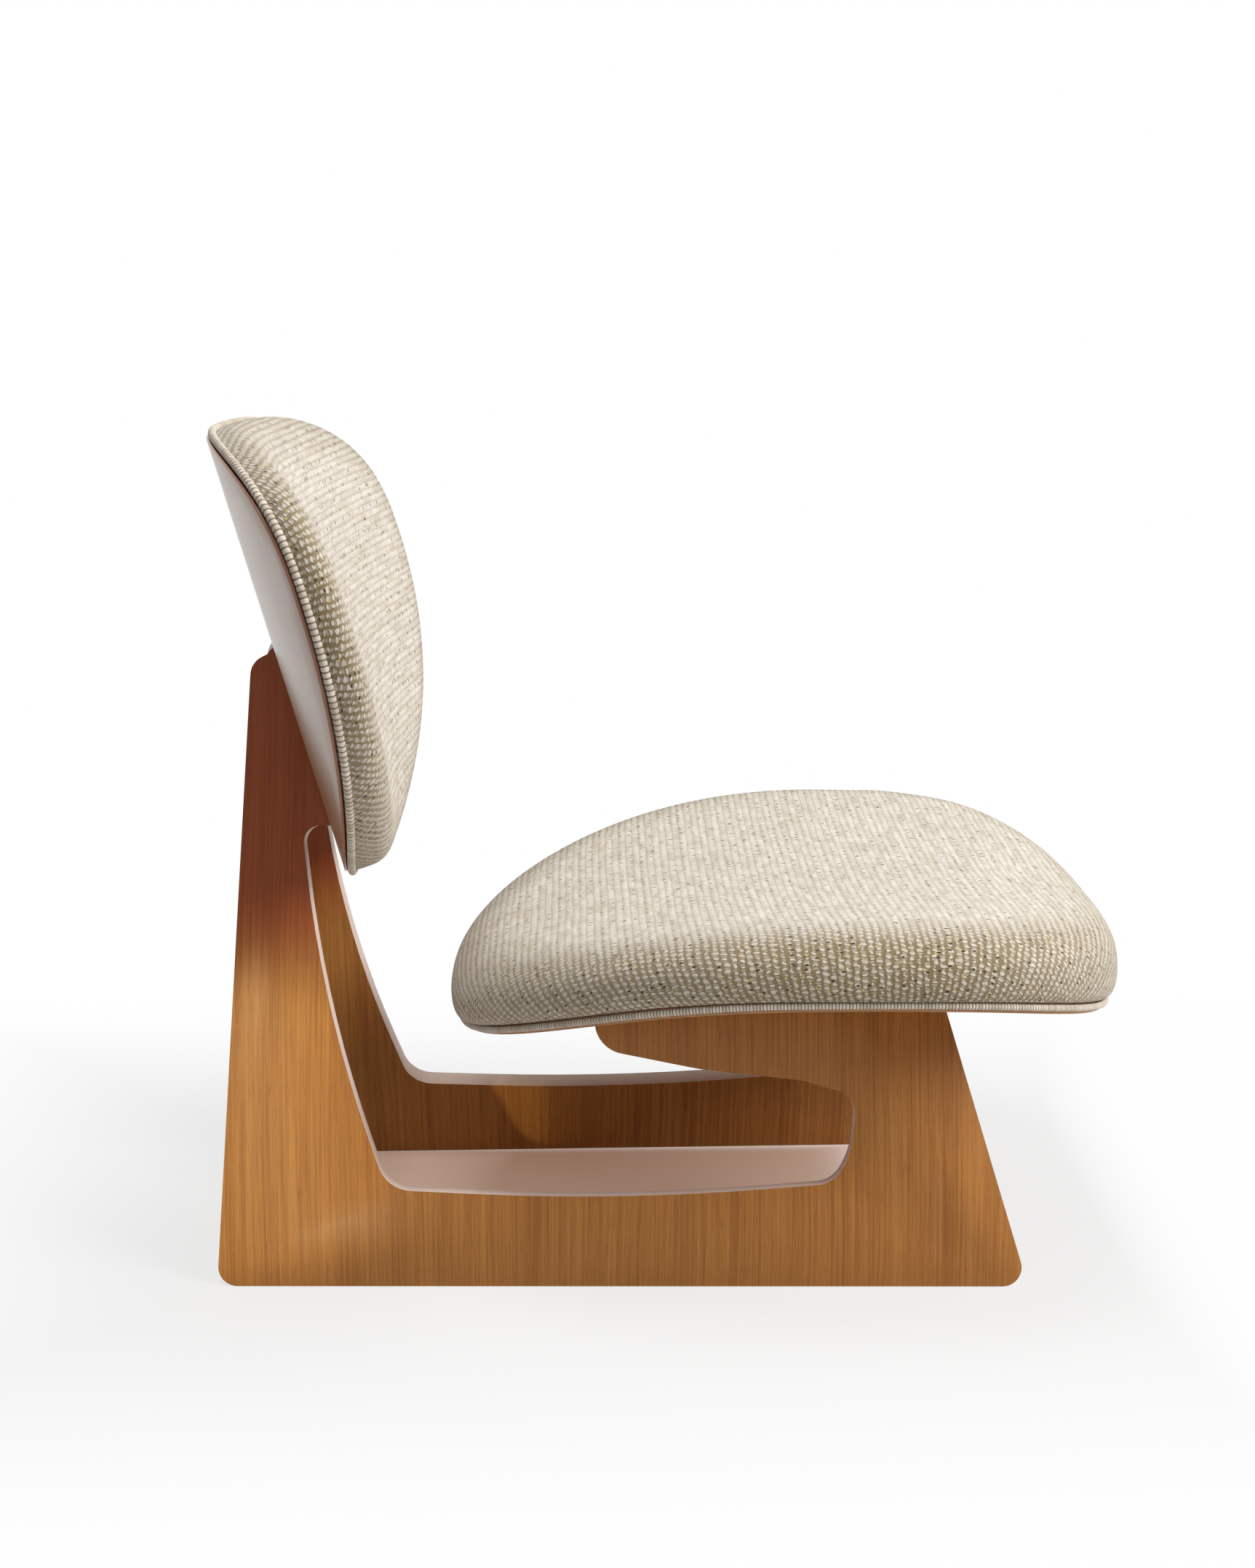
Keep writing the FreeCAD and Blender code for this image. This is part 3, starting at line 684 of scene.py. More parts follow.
@dataclass(frozen=True)
class PlainWood(Finish):
    """Planed and oiled solid wood, with its grain across the chair."""

    grain: Grain
    roughness: float = 0.55
    relief_mm: float = 0.1
    relief_strength: float = 0.5

    def inputs(self, graph: Graph) -> dict[str, Input]:
        """Add the finish's nodes and give the shader's inputs."""
        colour, height = self.grain.colour(graph, graph.place(), Axis.ACROSS)
        return {
            "Base Color": colour,
            "Roughness": self.roughness,
            "Specular IOR Level": 0.3,
            "Normal": graph.bump(height, self.relief_mm, self.relief_strength),
        }


@dataclass(frozen=True)
class ZincSteel(Finish):
    """Zinc-plated steel: a cool, slightly cloudy satin metal."""

    bright: Colour = linear(188, 190, 192)
    dull: Colour = linear(150, 152, 150)
    cloud_noise: Pair = (260.0, 4.0)
    cloud_ramp: Ramp = (0.35, 0.7)
    rough_noise: Pair = (900.0, 2.0)
    rough_ramp: Ramp = (0.3, 0.7, 0.26, 0.42)
    relief_mm: float = 0.05
    relief_strength: float = 0.4

    def inputs(self, graph: Graph) -> dict[str, Input]:
        """Add the finish's nodes and give the shader's inputs."""
        place = graph.place()
        cloud = graph.noise(place, *self.cloud_noise)
        return {
            "Base Color": graph.mix(graph.ramp(cloud, *self.cloud_ramp), self.bright, self.dull),
            "Metallic": 1.0,
            "Roughness": graph.ramp(graph.noise(place, *self.rough_noise), *self.rough_ramp),
            "Normal": graph.bump(cloud, self.relief_mm, self.relief_strength),
        }


def new_object(name: str, data: bpy.types.ID) -> bpy.types.Object:
    """Make an object for some data and put it in the scene."""
    made = bpy.data.objects.new(name, data)
    bpy.context.scene.collection.objects.link(made)
    return made


def evaluated_mesh(piece: bpy.types.Object, name: str) -> bpy.types.Mesh:
    """Give a piece's shape, with its modifiers applied, as a plain mesh of the given name."""
    graph = bpy.context.evaluated_depsgraph_get()
    mesh = bpy.data.meshes.new_from_object(piece.evaluated_get(graph), depsgraph=graph)
    mesh.name = name
    return mesh


def baked(piece: bpy.types.Object) -> None:
    """Turn a piece's modifiers into plain mesh."""
    mesh = evaluated_mesh(piece, piece.name)
    piece.modifiers.clear()
    piece.data = mesh


def shade(piece: bpy.types.Object, degrees: float) -> None:
    """Smooth the shading over all edges flatter than an angle."""
    limit = math.cos(math.radians(degrees))
    shape = bmesh.new()
    shape.from_mesh(piece.data)
    for face in shape.faces:
        face.smooth = True
    for edge in shape.edges:
        faces = edge.link_faces
        edge.smooth = len(faces) == 2 and faces[0].normal.dot(faces[1].normal) > limit
    shape.to_mesh(piece.data)
    shape.free()


def solid_copy(node: str, name: str, bevel_mm: float) -> bpy.types.Object:
    """Copy a CAD node's mesh, merge its triangles into faces and soften its edges.

    Args:
        node: Name of the CAD node.
        name: Name of the new piece.
        bevel_mm: Width of the softened edges.

    Returns:
        The new piece.
    """
    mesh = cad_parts[node].data.copy()
    shape = bmesh.new()
    shape.from_mesh(mesh)
    bmesh.ops.remove_doubles(shape, verts=shape.verts, dist=MERGE_MM * MM)
    bmesh.ops.dissolve_limit(shape, angle_limit=math.radians(FLAT_DEG), verts=shape.verts, edges=shape.edges)
    shape.to_mesh(mesh)
    shape.free()
    mesh.materials.clear()
    piece = new_object(name, mesh)
    bevel = piece.modifiers.new("soft_edges", "BEVEL")
    bevel.width = bevel_mm * MM
    bevel.segments = BEVEL_SEGMENTS
    bevel.limit_method = "ANGLE"
    bevel.angle_limit = math.radians(BEVEL_DEG)
    bevel.use_clamp_overlap = True
    bevel.harden_normals = False
    baked(piece)
    shade(piece, SHADE_DEG)
    return piece


def dressed(piece: bpy.types.Object, material: bpy.types.Material) -> None:
    """Give a piece one material."""
    piece.data.materials.clear()
    piece.data.materials.append(material)


def tone_cad(nodes: Iterable[str], material: bpy.types.Material) -> None:
    """Give carried-over CAD nodes a material."""
    for name in nodes:
        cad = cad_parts[name]
        if not cad.material_slots:
            cad.data.materials.append(material)
        for slot in cad.material_slots:
            slot.material = material
        log.info("%s keeps its CAD shape", name)


@dataclass
class SideFrame:
    """One leaning plywood board with its cut-out."""

    side: Side
    splay_deg: float = 12.07
    toe_deg: float = 1.14
    stance_half_mm: float = 148.96
    bevel_mm: float = 0.8

    def place(self) -> Placement:
        """Frame of the board's outer face: along, up the board, outwards."""
        lean = Matrix.Rotation(math.radians(self.side.value * self.splay_deg), 3, "X")
        toe = Matrix.Rotation(math.radians(self.side.value * self.toe_deg), 3, "Z")
        turn = toe @ lean
        origin = Vector((0.0, self.side.value * self.stance_half_mm * MM, 0.0))
        along, up = turn @ Vector((1, 0, 0)), turn @ Vector((0, 0, 1))
        return Placement(origin, along, up, along.cross(up))

    def build(self) -> bpy.types.Object:
        """Build the board, dress it and stand it in for its CAD node."""
        node = f"side_frame_{self.side.word}"
        board = solid_copy(node, f"board_{self.side.word}", self.bevel_mm)
        # The darker, redder colour from 0.205 m to 0.285 m up the board is painted shade: the back pad's shadow on
        # the upright.
        grain = Grain(
            dark=linear(153, 96, 42), middle=linear(176, 116, 54), light=linear(191, 130, 65),
            pore=linear(121, 73, 31), pore_share=0.4,
            ripe=(0.70, 0.37, 0.33, 1.0), ripe_from=0.205, ripe_to=0.285)
        edge = CutEdge(pale=linear(246, 222, 208), dark=linear(214, 178, 158))
        finish = Veneer(f"board_veneer_{self.side.word}", self.place(), grain, edge, Axis.ACROSS)
        dressed(board, finish.material())
        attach(board, ROOT)
        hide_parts(node)
        log.info("%s: %d faces", board.name, len(board.data.polygons))
        return board


@dataclass(frozen=True)
class Outline:
    """Rounded outline, widest ahead of its middle, in millimetres."""

    widest: float
    ahead: float
    behind: float
    half: float
    full_ahead: float
    full_behind: float

    def point(self, turn: float, inset: float) -> Pair:
        """Point of the outline, drawn in by an inset, at a turn from the widest place."""
        cross, length = math.cos(turn), math.sin(turn)
        full = self.full_ahead if length >= 0 else self.full_behind
        reach = (self.ahead if length >= 0 else self.behind) - inset
        scale = (abs(cross) ** full + abs(length) ** full) ** (-1 / full)
        return self.widest + reach * scale * length, (self.half - inset) * scale * cross


@dataclass(frozen=True)
class PressedSheet:
    """Place, outline and hard face of a pressed plywood shell, in millimetres."""

    place: Placement
    outline: Outline
    cross_radius: float
    flat_from: float = 0.0
    front_radius: float = math.inf
    rear_radius: float = math.inf

    def height(self, along: float, across: float) -> float:
        """Height of the hard face."""
        reach = along - self.flat_from
        radius = self.front_radius if reach > 0 else self.rear_radius
        return across * across / (2 * self.cross_radius) - reach * reach / (2 * radius)

    def at(self, along: float, across: float, rise: float) -> Vector:
        """Place of a point over the hard face."""
        out = self.height(along, across) + rise
        return self.place.point(along * MM, across * MM, out * MM)


@dataclass
class Shell:
    """A pressed plywood shell, with its grain along it."""

    name: str
    sheet: PressedSheet
    grain: Grain
    edge: CutEdge
    roughness: float
    coat: float
    bevel_mm: float = 0.5

    def build(self) -> bpy.types.Object:
        """Build the shell, dress it and stand it in for its CAD node."""
        node = f"{self.name}_shell"
        shell = solid_copy(node, f"{self.name}_pressed_shell", self.bevel_mm)
        finish = Veneer(
            f"{self.name}_shell_veneer", self.sheet.place, self.grain, self.edge, Axis.ALONG,
            roughness=self.roughness, coat=self.coat)
        dressed(shell, finish.material())
        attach(shell, ROOT)
        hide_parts(node)
        log.info("%s: %d faces", shell.name, len(shell.data.polygons))
        return shell


@dataclass
class Pad:
    """Upholstered pad: a crowned, closed form, grown by a cloth simulation and dressed in the weave.

    Its sizes are in millimetres. From the middle outwards it has a square block drawn round, flat
    rings, the rings of the shoulder and of the foot, and then the same again underneath, unseen.
    """

    UV_NAME = "cloth"
    STRETCH_NAME = "stretch"
    GRIP_NAME = "grip"
    CLOTH = {
        "quality": 6, "mass": 0.4, "tension_stiffness": 30, "compression_stiffness": 30, "shear_stiffness": 12,
        "bending_stiffness": 4, "use_pressure": True}

    name: str
    sheet: PressedSheet
    top: float
    crown: float
    length_radius: float
    cross_radius: float
    shoulder_inset: float
    side_extra: float
    bulge: float
    foot_inset: float
    equator: float
    cap: float
    ahead_extra: float = 0.0
    behind_extra: float = 0.0
    shoulder_power: float = 2.5
    foot_power: float = 0.9
    foot_rise: float = 6.5
    base_rise: float = 9.15
    opens_from: float = 0.08
    open_ends: float = 0.45
    block: int = 40
    block_share: float = 0.6
    flat_rings: int = 12
    shoulder_rings: int = 14
    foot_rings: int = 5
    under_steps: int = 3
    pressure: float = 4.0
    frames: int = 20
    even_rounds: int = 8
    fill: float = 0.9
    points: list[Vector] = field(default_factory=list)
    cloth: list[Pair] = field(default_factory=list)
    stretch: list[float] = field(default_factory=list)
    faces: list[tuple[int, ...]] = field(default_factory=list)

    def crown_height(self, along: float, across: float) -> float:
        """Height of the crowned top."""
        reach = along - self.crown
        return self.top - reach * reach / (2 * self.length_radius) + across * across / (2 * self.cross_radius)

    def foot_height(self, along: float, across: float) -> float:
        """Height of the pad's foot."""
        return self.sheet.height(along, across) + self.foot_rise

    def base_height(self, along: float, across: float) -> float:
        """Height of the pad's hidden base."""
        return self.sheet.height(along, across) + self.base_rise

    def add(self, along: float, across: float, out: float, cloth: Pair, stretch: float) -> int:
        """Add a point with its place on the cloth; give its number."""
        self.points.append(self.sheet.place.point(along * MM, across * MM, out * MM))
        self.cloth.append((cloth[0] * MM, cloth[1] * MM))
        self.stretch.append(stretch)
        return len(self.points) - 1

    def disc(self, row: int, column: int) -> Pair:
        """Place in a unit disc of a point of the middle block."""
        first, second = 2 * row / self.block - 1, 2 * column / self.block - 1
        return first * math.sqrt(1 - second * second / 2), second * math.sqrt(1 - first * first / 2)

    def rim(self) -> list[tuple[int, int]]:
        """Rows and columns round the middle block, in order."""
        last = self.block
        numbers = [(row, 0) for row in range(last)]
        numbers += [(last, column) for column in range(last)]
        numbers += [(row, last) for row in range(last, 0, -1)]
        numbers += [(0, column) for column in range(last, 0, -1)]
        return numbers

    def inset(self, turn: float) -> float:
        """Inset of the shoulder's start, which differs between the pad's sides and its two ends."""
        end_extra = self.ahead_extra if math.sin(turn) > 0 else self.behind_extra
        return self.shoulder_inset + self.side_extra * math.cos(turn) ** 2 + end_extra * math.sin(turn) ** 2

    def flat_point(self, turn: float, share: float) -> Pair:
        """Point a share of the way from the pad's middle to the shoulder's start."""
        along, across = self.sheet.outline.point(turn, self.inset(turn))
        middle = self.sheet.outline.widest
        return middle + (along - middle) * share, across * share

    def middle_block(self, height: Callable[[float, float], float], upward: bool) -> list[int]:
        """Add the middle block of the top or of the base.

        Args:
            height: Height over the shell's frame at a place.
            upward: Whether the faces look to the soft side.

        Returns:
            The numbers of the points round the block, in order.
        """
        numbers: dict[tuple[int, int], int] = {}
        for row in range(self.block + 1):
            for column in range(self.block + 1):
                first, second = self.disc(row, column)
                share = math.hypot(first, second) * self.block_share
                spot = self.flat_point(math.atan2(second, first), share)
                numbers[row, column] = self.add(*spot, height(*spot), spot, 0.0)
        for row in range(self.block):
            for column in range(self.block):
                corners = (
                    numbers[row, column], numbers[row + 1, column],
                    numbers[row + 1, column + 1], numbers[row, column + 1])
                self.faces.append(corners[::-1] if upward else corners)
        return [numbers[key] for key in self.rim()]

    def band(self, inner: list[int], outer: list[int]) -> list[int]:
        """Add the faces between two rings; give the outer ring."""
        for number, (near, far) in enumerate(zip(inner, outer)):
            after = (number + 1) % len(inner)
            self.faces.append((inner[after], outer[after], far, near))
        return outer

    def ring(self, inner: list[int], spots: Iterable[Pair], height: Callable[[float, float], float]) -> list[int]:
        """Add a ring of flat cloth outside another.

        Args:
            inner: The ring before it.
            spots: Places of its points.
            height: Height over the shell's frame at a place.

        Returns:
            The numbers of its points.
        """
        return self.band(inner, [self.add(*spot, height(*spot), spot, 0.0) for spot in spots])

    def profile(self) -> list[tuple[float, float, float, bool]]:
        """Section of the shoulder and the foot.

        Returns:
            For each ring: the share of the shoulder's inset in its own, the rest of its inset, its height
            as a share, and whether it lies over the widest place.
        """
        rings: list[tuple[float, float, float, bool]] = []
        power = 2 / self.shoulder_power
        for step in range(1, self.shoulder_rings + 1):
            angle = math.pi / 2 * step / self.shoulder_rings
            outward = math.sin(angle) ** power
            rings.append((1 - outward, -self.bulge * outward, max(math.cos(angle), 0.0) ** power, True))
        for step in range(1, self.foot_rings + 1):
            angle = math.pi / 2 * step / self.foot_rings
            inward = 1 - max(math.cos(angle), 0.0) ** self.foot_power
            inset = -self.bulge + (self.bulge + self.foot_inset) * inward
            rings.append((0.0, inset, math.sin(angle) ** self.foot_power, False))
        return rings

    def shoulder(self, turns: list[float], ring: list[int]) -> list[int]:
        """Add the shoulder and the foot, whose cloth runs straight down from the flat top's edge.

        Args:
            turns: Turns of the points round the pad.
            ring: The flat top's last ring.

        Returns:
            The foot's last ring.
        """
        starts = [self.flat_point(turn, 1.0) for turn in turns]
        ways = []
        for turn, start in zip(turns, starts):
            end = self.sheet.outline.point(turn, 0.0)
            length = math.dist(start, end)
            ways.append(((end[0] - start[0]) / length, (end[1] - start[1]) / length))
        runs = [0.0] * len(turns)
        last = [(*start, self.crown_height(*start)) for start in starts]
        for portion, rest, share, above in self.profile():
            outer = []
            for number, turn in enumerate(turns):
                along, across = self.sheet.outline.point(turn, self.inset(turn) * portion + rest)
                foot = self.foot_height(along, across)
                crown = self.crown_height(along, across)
                widest = foot + (crown - foot) * self.equator
                out = widest + (crown - widest) * share if above else widest - (widest - foot) * share
                runs[number] += math.dist(last[number], (along, across, out))
                last[number] = (along, across, out)
                start, way = starts[number], ways[number]
                cloth = (start[0] + way[0] * runs[number], start[1] + way[1] * runs[number])
                open_share = min(max(runs[number] / self.inset(turn) - self.opens_from, 0.0), 1.0)
                open_share *= self.open_ends + (1 - self.open_ends) * math.cos(turn) ** 2
                outer.append(self.add(along, across, out, cloth, open_share))
            ring = self.band(ring, outer)
        return ring

    def shape(self) -> bpy.types.Object:
        """Build the closed form with its cloth map."""
        ring = self.middle_block(self.crown_height, True)
        turns = [math.atan2(second, first) for first, second in (self.disc(*key) for key in self.rim())]
        for step in range(1, self.flat_rings + 1):
            share = self.block_share + (1 - self.block_share) * step / self.flat_rings
            ring = self.ring(ring, [self.flat_point(turn, share) for turn in turns], self.crown_height)
        ring = self.shoulder(turns, ring)
        for step in range(self.under_steps + 1):
            spots = []
            for turn in turns:
                depth = self.foot_inset + (self.inset(turn) - self.foot_inset) * step / self.under_steps
                spots.append(self.sheet.outline.point(turn, depth))
            ring = self.ring(ring, spots, self.base_height)
        for step in range(1, self.under_steps):
            share = 1 - (1 - self.block_share) * step / self.under_steps
            ring = self.ring(ring, [self.flat_point(turn, share) for turn in turns], self.base_height)
        self.band(ring, self.middle_block(self.base_height, False))
        return self.mesh()

    def mesh(self) -> bpy.types.Object:
        """Make the pad from the collected points and faces, with its cloth map, stretch and grip."""
        mesh = bpy.data.meshes.new(self.name)
        mesh.from_pydata([tuple(point) for point in self.points], [], self.faces)
        layer = mesh.uv_layers.new(name=self.UV_NAME)
        for loop in mesh.loops:
            layer.data[loop.index].uv = self.cloth[loop.vertex_index]
        attribute = mesh.attributes.new(self.STRETCH_NAME, "FLOAT", "POINT")
        attribute.data.foreach_set("value", self.stretch)
        pad = new_object(self.name, mesh)
        shape = bmesh.new()
        shape.from_mesh(mesh)
        bmesh.ops.recalc_face_normals(shape, faces=shape.faces)
        shape.to_mesh(mesh)
        shape.free()
        rings = self.flat_rings + self.shoulder_rings + self.foot_rings - 1
        soft = (self.block + 1) ** 2 + 4 * self.block * rings
        grip = pad.vertex_groups.new(name=self.GRIP_NAME)
        grip.add(list(range(soft, len(mesh.vertices))), 1.0, "REPLACE")
        return pad

    def grow(self, pad: bpy.types.Object) -> None:
        """Swell the pad by a cloth simulation, and cap how far each point moves."""
        rest = [vertex.co.copy() for vertex in pad.data.vertices]
        modifier = pad.modifiers.new("cloth", "CLOTH")
        settings = modifier.settings
        for name, value in self.CLOTH.items():
            setattr(settings, name, value)
        settings.uniform_pressure_force = self.pressure
        settings.vertex_group_mass = self.GRIP_NAME
        settings.effector_weights.gravity = 0.0
        modifier.collision_settings.use_collision = False
        modifier.point_cache.frame_start = 1
        modifier.point_cache.frame_end = self.frames
        scene = bpy.context.scene
        for number in range(1, self.frames + 1):
            scene.frame_set(number)
        baked(pad)
        scene.frame_set(1)
        moves = [vertex.co - start for vertex, start in zip(pad.data.vertices, rest)]
        largest = max(move.length for move in moves)
        cap = self.cap * MM
        moves = [move if move.length <= cap else move.normalized() * cap for move in moves]
        for vertex, start, move in zip(pad.data.vertices, rest, self.evened(pad.data, moves)):
            vertex.co = start + move
        log.info("%s: the cloth moved up to %.1f mm, capped at %.1f", self.name, largest / MM, self.cap)

    def evened(self, mesh: bpy.types.Mesh, moves: list[Vector]) -> list[Vector]:
        """Even out the moves of neighbouring points.

        Args:
            mesh: The pad's mesh.
            moves: Move of each point.

        Returns:
            The evened moves.
        """
        for _ in range(self.even_rounds):
            totals = [move.copy() for move in moves]
            counts = [1] * len(moves)
            for edge in mesh.edges:
                first, second = edge.vertices
                totals[first] += moves[second]
                totals[second] += moves[first]
                counts[first] += 1
                counts[second] += 1
            moves = [total / count for total, count in zip(totals, counts)]
        return moves

    def build(self, material: bpy.types.Material) -> bpy.types.Object:
        """Build the pad, dress it and stand it in for its CAD nodes.

        Args:
            material: The weave.

        Returns:
            The finished pad.
        """
        pad = self.shape()
        self.grow(pad)
        smooth = pad.modifiers.new("smooth", "SUBSURF")
        smooth.levels = smooth.render_levels = 1
        baked(pad)
        for face in pad.data.polygons:
            face.use_smooth = True
        dressed(pad, material)
        side = self.name.split("_")[0]
        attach(pad, ROOT)
        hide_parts(f"{side}_cover", f"{side}_wadding", f"{side}_foam")
        log.info("%s: %d faces", pad.name, len(pad.data.polygons))
        return pad


@dataclass
class Welt:
    """Piping round a pad's foot: a tube with one ridge for each turn of yarn, along a closed path."""

    TURN_NAME = "turn"
    INPUTS = {"Geometry": "Geometry", "Radius": "Float", "Pitch": "Float", "Ridge": "Float", "Count": "Int",
              "Sides": "Int", "Finish": "Material"}

    name: str
    sheet: PressedSheet
    radius_mm: float = 2.5
    overhang_mm: float = 4.7
    rise_mm: float = 3.9
    ridge_pitch_mm: float = 2.3
    ridge_share: float = 0.17
    ridge_power: float = 0.6
    path_points: int = 360
    steps_per_ridge: int = 5
    sides: int = 10

    def path(self) -> bpy.types.Object:
        """Closed path of the welt, as a curve object."""
        curve = bpy.data.curves.new(f"{self.name}_path", "CURVE")
        curve.dimensions = "3D"
        spline = curve.splines.new("POLY")
        spline.points.add(self.path_points - 1)
        inset = self.radius_mm - self.overhang_mm
        for number in range(self.path_points):
            along, across = self.sheet.outline.point(2 * math.pi * (number + 0.5) / self.path_points, inset)
            spline.points[number].co = (*self.sheet.at(along, across, self.rise_mm), 1.0)
        spline.use_cyclic_u = True
        return new_object(curve.name, curve)

    def tree(self) -> bpy.types.NodeTree:
        """Build the tree that sweeps a ridged tube along the path, and keeps each point's count of turns."""
        tree = bpy.data.node_groups.new(f"{self.name}_sweep", "GeometryNodeTree")
        for name, kind in self.INPUTS.items():
            tree.interface.new_socket(name, in_out="INPUT", socket_type=f"NodeSocket{kind}")
        tree.interface.new_socket("Geometry", in_out="OUTPUT", socket_type="NodeSocketGeometry")
        graph = Graph(tree)
        given = graph.node("NodeGroupInput").outputs
        evened = graph.node("GeometryNodeResampleCurve", {"Curve": given["Geometry"], "Count": given["Count"]})
        run = graph.node("GeometryNodeSplineParameter").outputs["Length"]
        turn = graph.math("DIVIDE", run, given["Pitch"])
        kept = graph.node(
            "GeometryNodeStoreNamedAttribute",
            {"Geometry": evened.outputs["Curve"], "Name": self.TURN_NAME, "Value": turn},
            data_type="FLOAT", domain="POINT")
        swing = graph.unsigned(graph.math("SINE", graph.times(turn, math.pi)))
        ridge = graph.times(graph.math("POWER", swing, self.ridge_power), given["Ridge"])
        ring = graph.node("GeometryNodeCurvePrimitiveCircle", {
            "Resolution": given["Sides"], "Radius": given["Radius"]})
        tube = graph.node("GeometryNodeCurveToMesh", {
            "Curve": kept.outputs["Geometry"], "Profile Curve": ring.outputs["Curve"],
            "Scale": graph.add(graph.less(1.0, given["Ridge"]), ridge)})
        soft = graph.node("GeometryNodeSetShadeSmooth", {"Geometry": tube.outputs["Mesh"]})
        real = graph.node("GeometryNodeRealizeInstances", {"Geometry": soft.outputs[0]})
        done = graph.node("GeometryNodeSetMaterial", {"Geometry": real.outputs[0], "Material": given["Finish"]})
        graph.node("NodeGroupOutput", {"Geometry": done.outputs[0]})
        return tree

    def build(self, material: bpy.types.Material) -> bpy.types.Object:
        """Build the welt, dress it and stand it in for its CAD nodes.

        Args:
            material: The welt's cloth.

        Returns:
            The finished welt.
        """
        path = self.path()
        spots = [point.co.to_3d() for point in path.data.splines[0].points]
        length = sum((spot - spots[number - 1]).length for number, spot in enumerate(spots))
        ridges = round(length / (self.ridge_pitch_mm * MM))
        tree = self.tree()
        modifier = path.modifiers.new("sweep", "NODES")
        modifier.node_group = tree
        values = {
            "Radius": self.radius_mm * MM,
            "Pitch": length / ridges,
            "Ridge": self.ridge_share,
            "Count": ridges * self.steps_per_ridge,
            "Sides": self.sides,
            "Finish": material,
        }
        for item in tree.interface.items_tree:
            if item.in_out == "INPUT" and item.name in values:
                modifier[item.identifier] = values[item.name]
        mesh = evaluated_mesh(path, self.name)
        bpy.data.objects.remove(path)
        welt = new_object(self.name, mesh)
        side = self.name.split("_")[0]
        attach(welt, ROOT)
        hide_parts(f"{side}_welt", f"{side}_welt_cord")
        log.info("%s: path of %.0f mm, %d ridges, %d faces", welt.name, length / MM, ridges, len(mesh.polygons))
        return welt


@dataclass
class Camera:
    """The photograph's camera."""

    place_mm: Triple = (-63.0, -1727.9, 716.8)
    pitch_deg: float = 12.185
    yaw_deg: float = 1.073
    focal_px: float = 3189.45
    long_side_px: float = 2156.0
    sensor_mm: float = 36.0

    def build(self) -> bpy.types.Object:
        """Add the camera and make it the scene's."""
        data = bpy.data.cameras.new("camera")
        data.sensor_width = self.sensor_mm
        data.lens = self.focal_px / self.long_side_px * self.sensor_mm
        camera = new_object("camera", data)
        pitch, yaw = math.radians(self.pitch_deg), math.radians(self.yaw_deg)
        look = Vector((math.sin(yaw) * math.cos(pitch), math.cos(yaw) * math.cos(pitch), -math.sin(pitch)))
        camera.location = Vector(self.place_mm) * MM
        camera.rotation_euler = look.to_track_quat("-Z", "Y").to_euler()
        bpy.context.scene.camera = camera
        return camera


@dataclass(frozen=True)
class Lamp:
    """A soft square lamp, or a round one with a narrow cone where an angle is given."""

    name: str
    place: Triple
    target: Triple
    size: float
    power: float
    cone_deg: float = 0.0
    cone_blend: float = 0.6
    colour: Triple = (1.0, 1.0, 1.0)

    def build(self) -> bpy.types.Object:
        """Add the lamp."""
        data = bpy.data.lights.new(self.name, "SPOT" if self.cone_deg else "AREA")
        if self.cone_deg:
            data.spot_size = math.radians(self.cone_deg)
            data.spot_blend = self.cone_blend
            data.shadow_soft_size = self.size / 2
        else:
            data.shape = "SQUARE"
            data.size = self.size
        data.energy = self.power
        data.color = self.colour
        lamp = new_object(self.name, data)
        lamp.location = self.place
        way = Vector(self.target) - Vector(self.place)
        lamp.rotation_euler = way.to_track_quat("-Z", "Y").to_euler()
        return lamp


